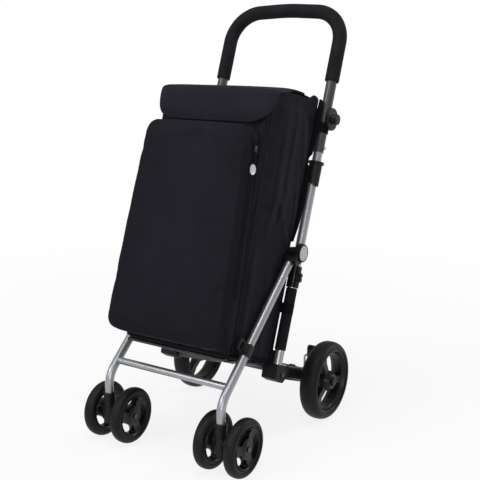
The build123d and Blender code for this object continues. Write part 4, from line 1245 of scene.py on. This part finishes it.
def studio_world():
    """White surroundings, seen in full by the camera, at half in reflections, and dim as a light."""
    world = bpy.data.worlds.new("Studio")
    world.use_nodes = True
    add = partial(add_node, world.node_tree)
    path = add("LightPath").node.outputs
    dim = add("MapRange", {"Value": path["Is Glossy Ray"], "To Min": 0.24, "To Max": 0.5})
    level = add("Math", {0: path["Is Camera Ray"], 1: dim}, operation="MAXIMUM")
    wire(world.node_tree.nodes["Background"], {"Strength": level, "Color": (1, 1, 1, 1)})
    return world


class TROLLEY_OT_stage(bpy.types.Operator):
    """Set the floor, the soft light and the camera"""
    bl_idname = "trolley.stage"
    bl_label = "Stage"

    def execute(self, context):
        scene = context.scene
        scene.view_settings.view_transform = "Standard"
        deselect()
        bpy.ops.mesh.primitive_plane_add(size=60)
        floor = context.object
        floor.name = "floor"
        floor.data.materials.append(paper_floor())
        floor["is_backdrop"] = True
        scene.world = studio_world()
        for name, (at, aim, size, watts) in LAMPS.items():
            lamp = bpy.data.lights.new(name, "AREA")
            lamp.size = size
            lamp.energy = watts
            obj = new_object(name, lamp)
            obj.location = at
            obj.rotation_euler = (Vector(aim) - Vector(at)).to_track_quat("-Z", "Y").to_euler()
        camera = bpy.data.cameras.new("camera")
        for key, value in CAMERA_LENS.items():
            setattr(camera, key, value)
        scene.camera = new_object("camera", camera)
        scene.camera.location = CAMERA_AT
        scene.camera.rotation_euler = CAMERA_TURN
        return {"FINISHED"}


class TROLLEY_PT_build(bpy.types.Panel):
    """Sidebar panel with the trolley's operators"""
    bl_idname = "TROLLEY_PT_build"
    bl_label = "Shopping trolley"
    bl_space_type = "VIEW_3D"
    bl_region_type = "UI"
    bl_category = "Trolley"

    def draw(self, context):
        for step in STEPS:
            self.layout.operator(step.bl_idname)
        for group in (context.scene.trolley_sizes, context.scene.trolley_colours):
            for key in group.__annotations__:
                self.layout.prop(group, key)


STEPS = (
    TROLLEY_OT_finishes,
    TROLLEY_OT_bag,
    TROLLEY_OT_pocket,
    TROLLEY_OT_flap,
    TROLLEY_OT_edging,
    TROLLEY_OT_grip,
    TROLLEY_OT_straps,
    TROLLEY_OT_zip,
    TROLLEY_OT_wheels,
    TROLLEY_OT_mouldings,
    TROLLEY_OT_stage,
)
CLASSES = (TrolleySizes, TrolleyColours, *STEPS, TROLLEY_PT_build)


def register():
    """Register the classes and their settings on the scene."""
    for item in CLASSES:
        bpy.utils.register_class(item)
    bpy.types.Scene.trolley_sizes = bpy.props.PointerProperty(type=TrolleySizes)
    bpy.types.Scene.trolley_colours = bpy.props.PointerProperty(type=TrolleyColours)


def unregister():
    """Take the classes and settings away again."""
    del bpy.types.Scene.trolley_sizes
    del bpy.types.Scene.trolley_colours
    for item in reversed(CLASSES):
        bpy.utils.unregister_class(item)


def main():
    """Build the whole trolley."""
    register()
    bpy.ops.trolley.finishes()
    bpy.ops.trolley.bag()
    bpy.ops.trolley.pocket()
    bpy.ops.trolley.flap()
    bpy.ops.trolley.edging()
    bpy.ops.trolley.grip()
    bpy.ops.trolley.straps()
    bpy.ops.trolley.zip()
    bpy.ops.trolley.wheels()
    bpy.ops.trolley.mouldings()
    bpy.ops.trolley.stage()
    boxes = {"cad": cad_box, "visual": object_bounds()}
    {name: [list(corner) for corner in box] for name, box in boxes.items()}


if __name__ == "__main__":
    main()
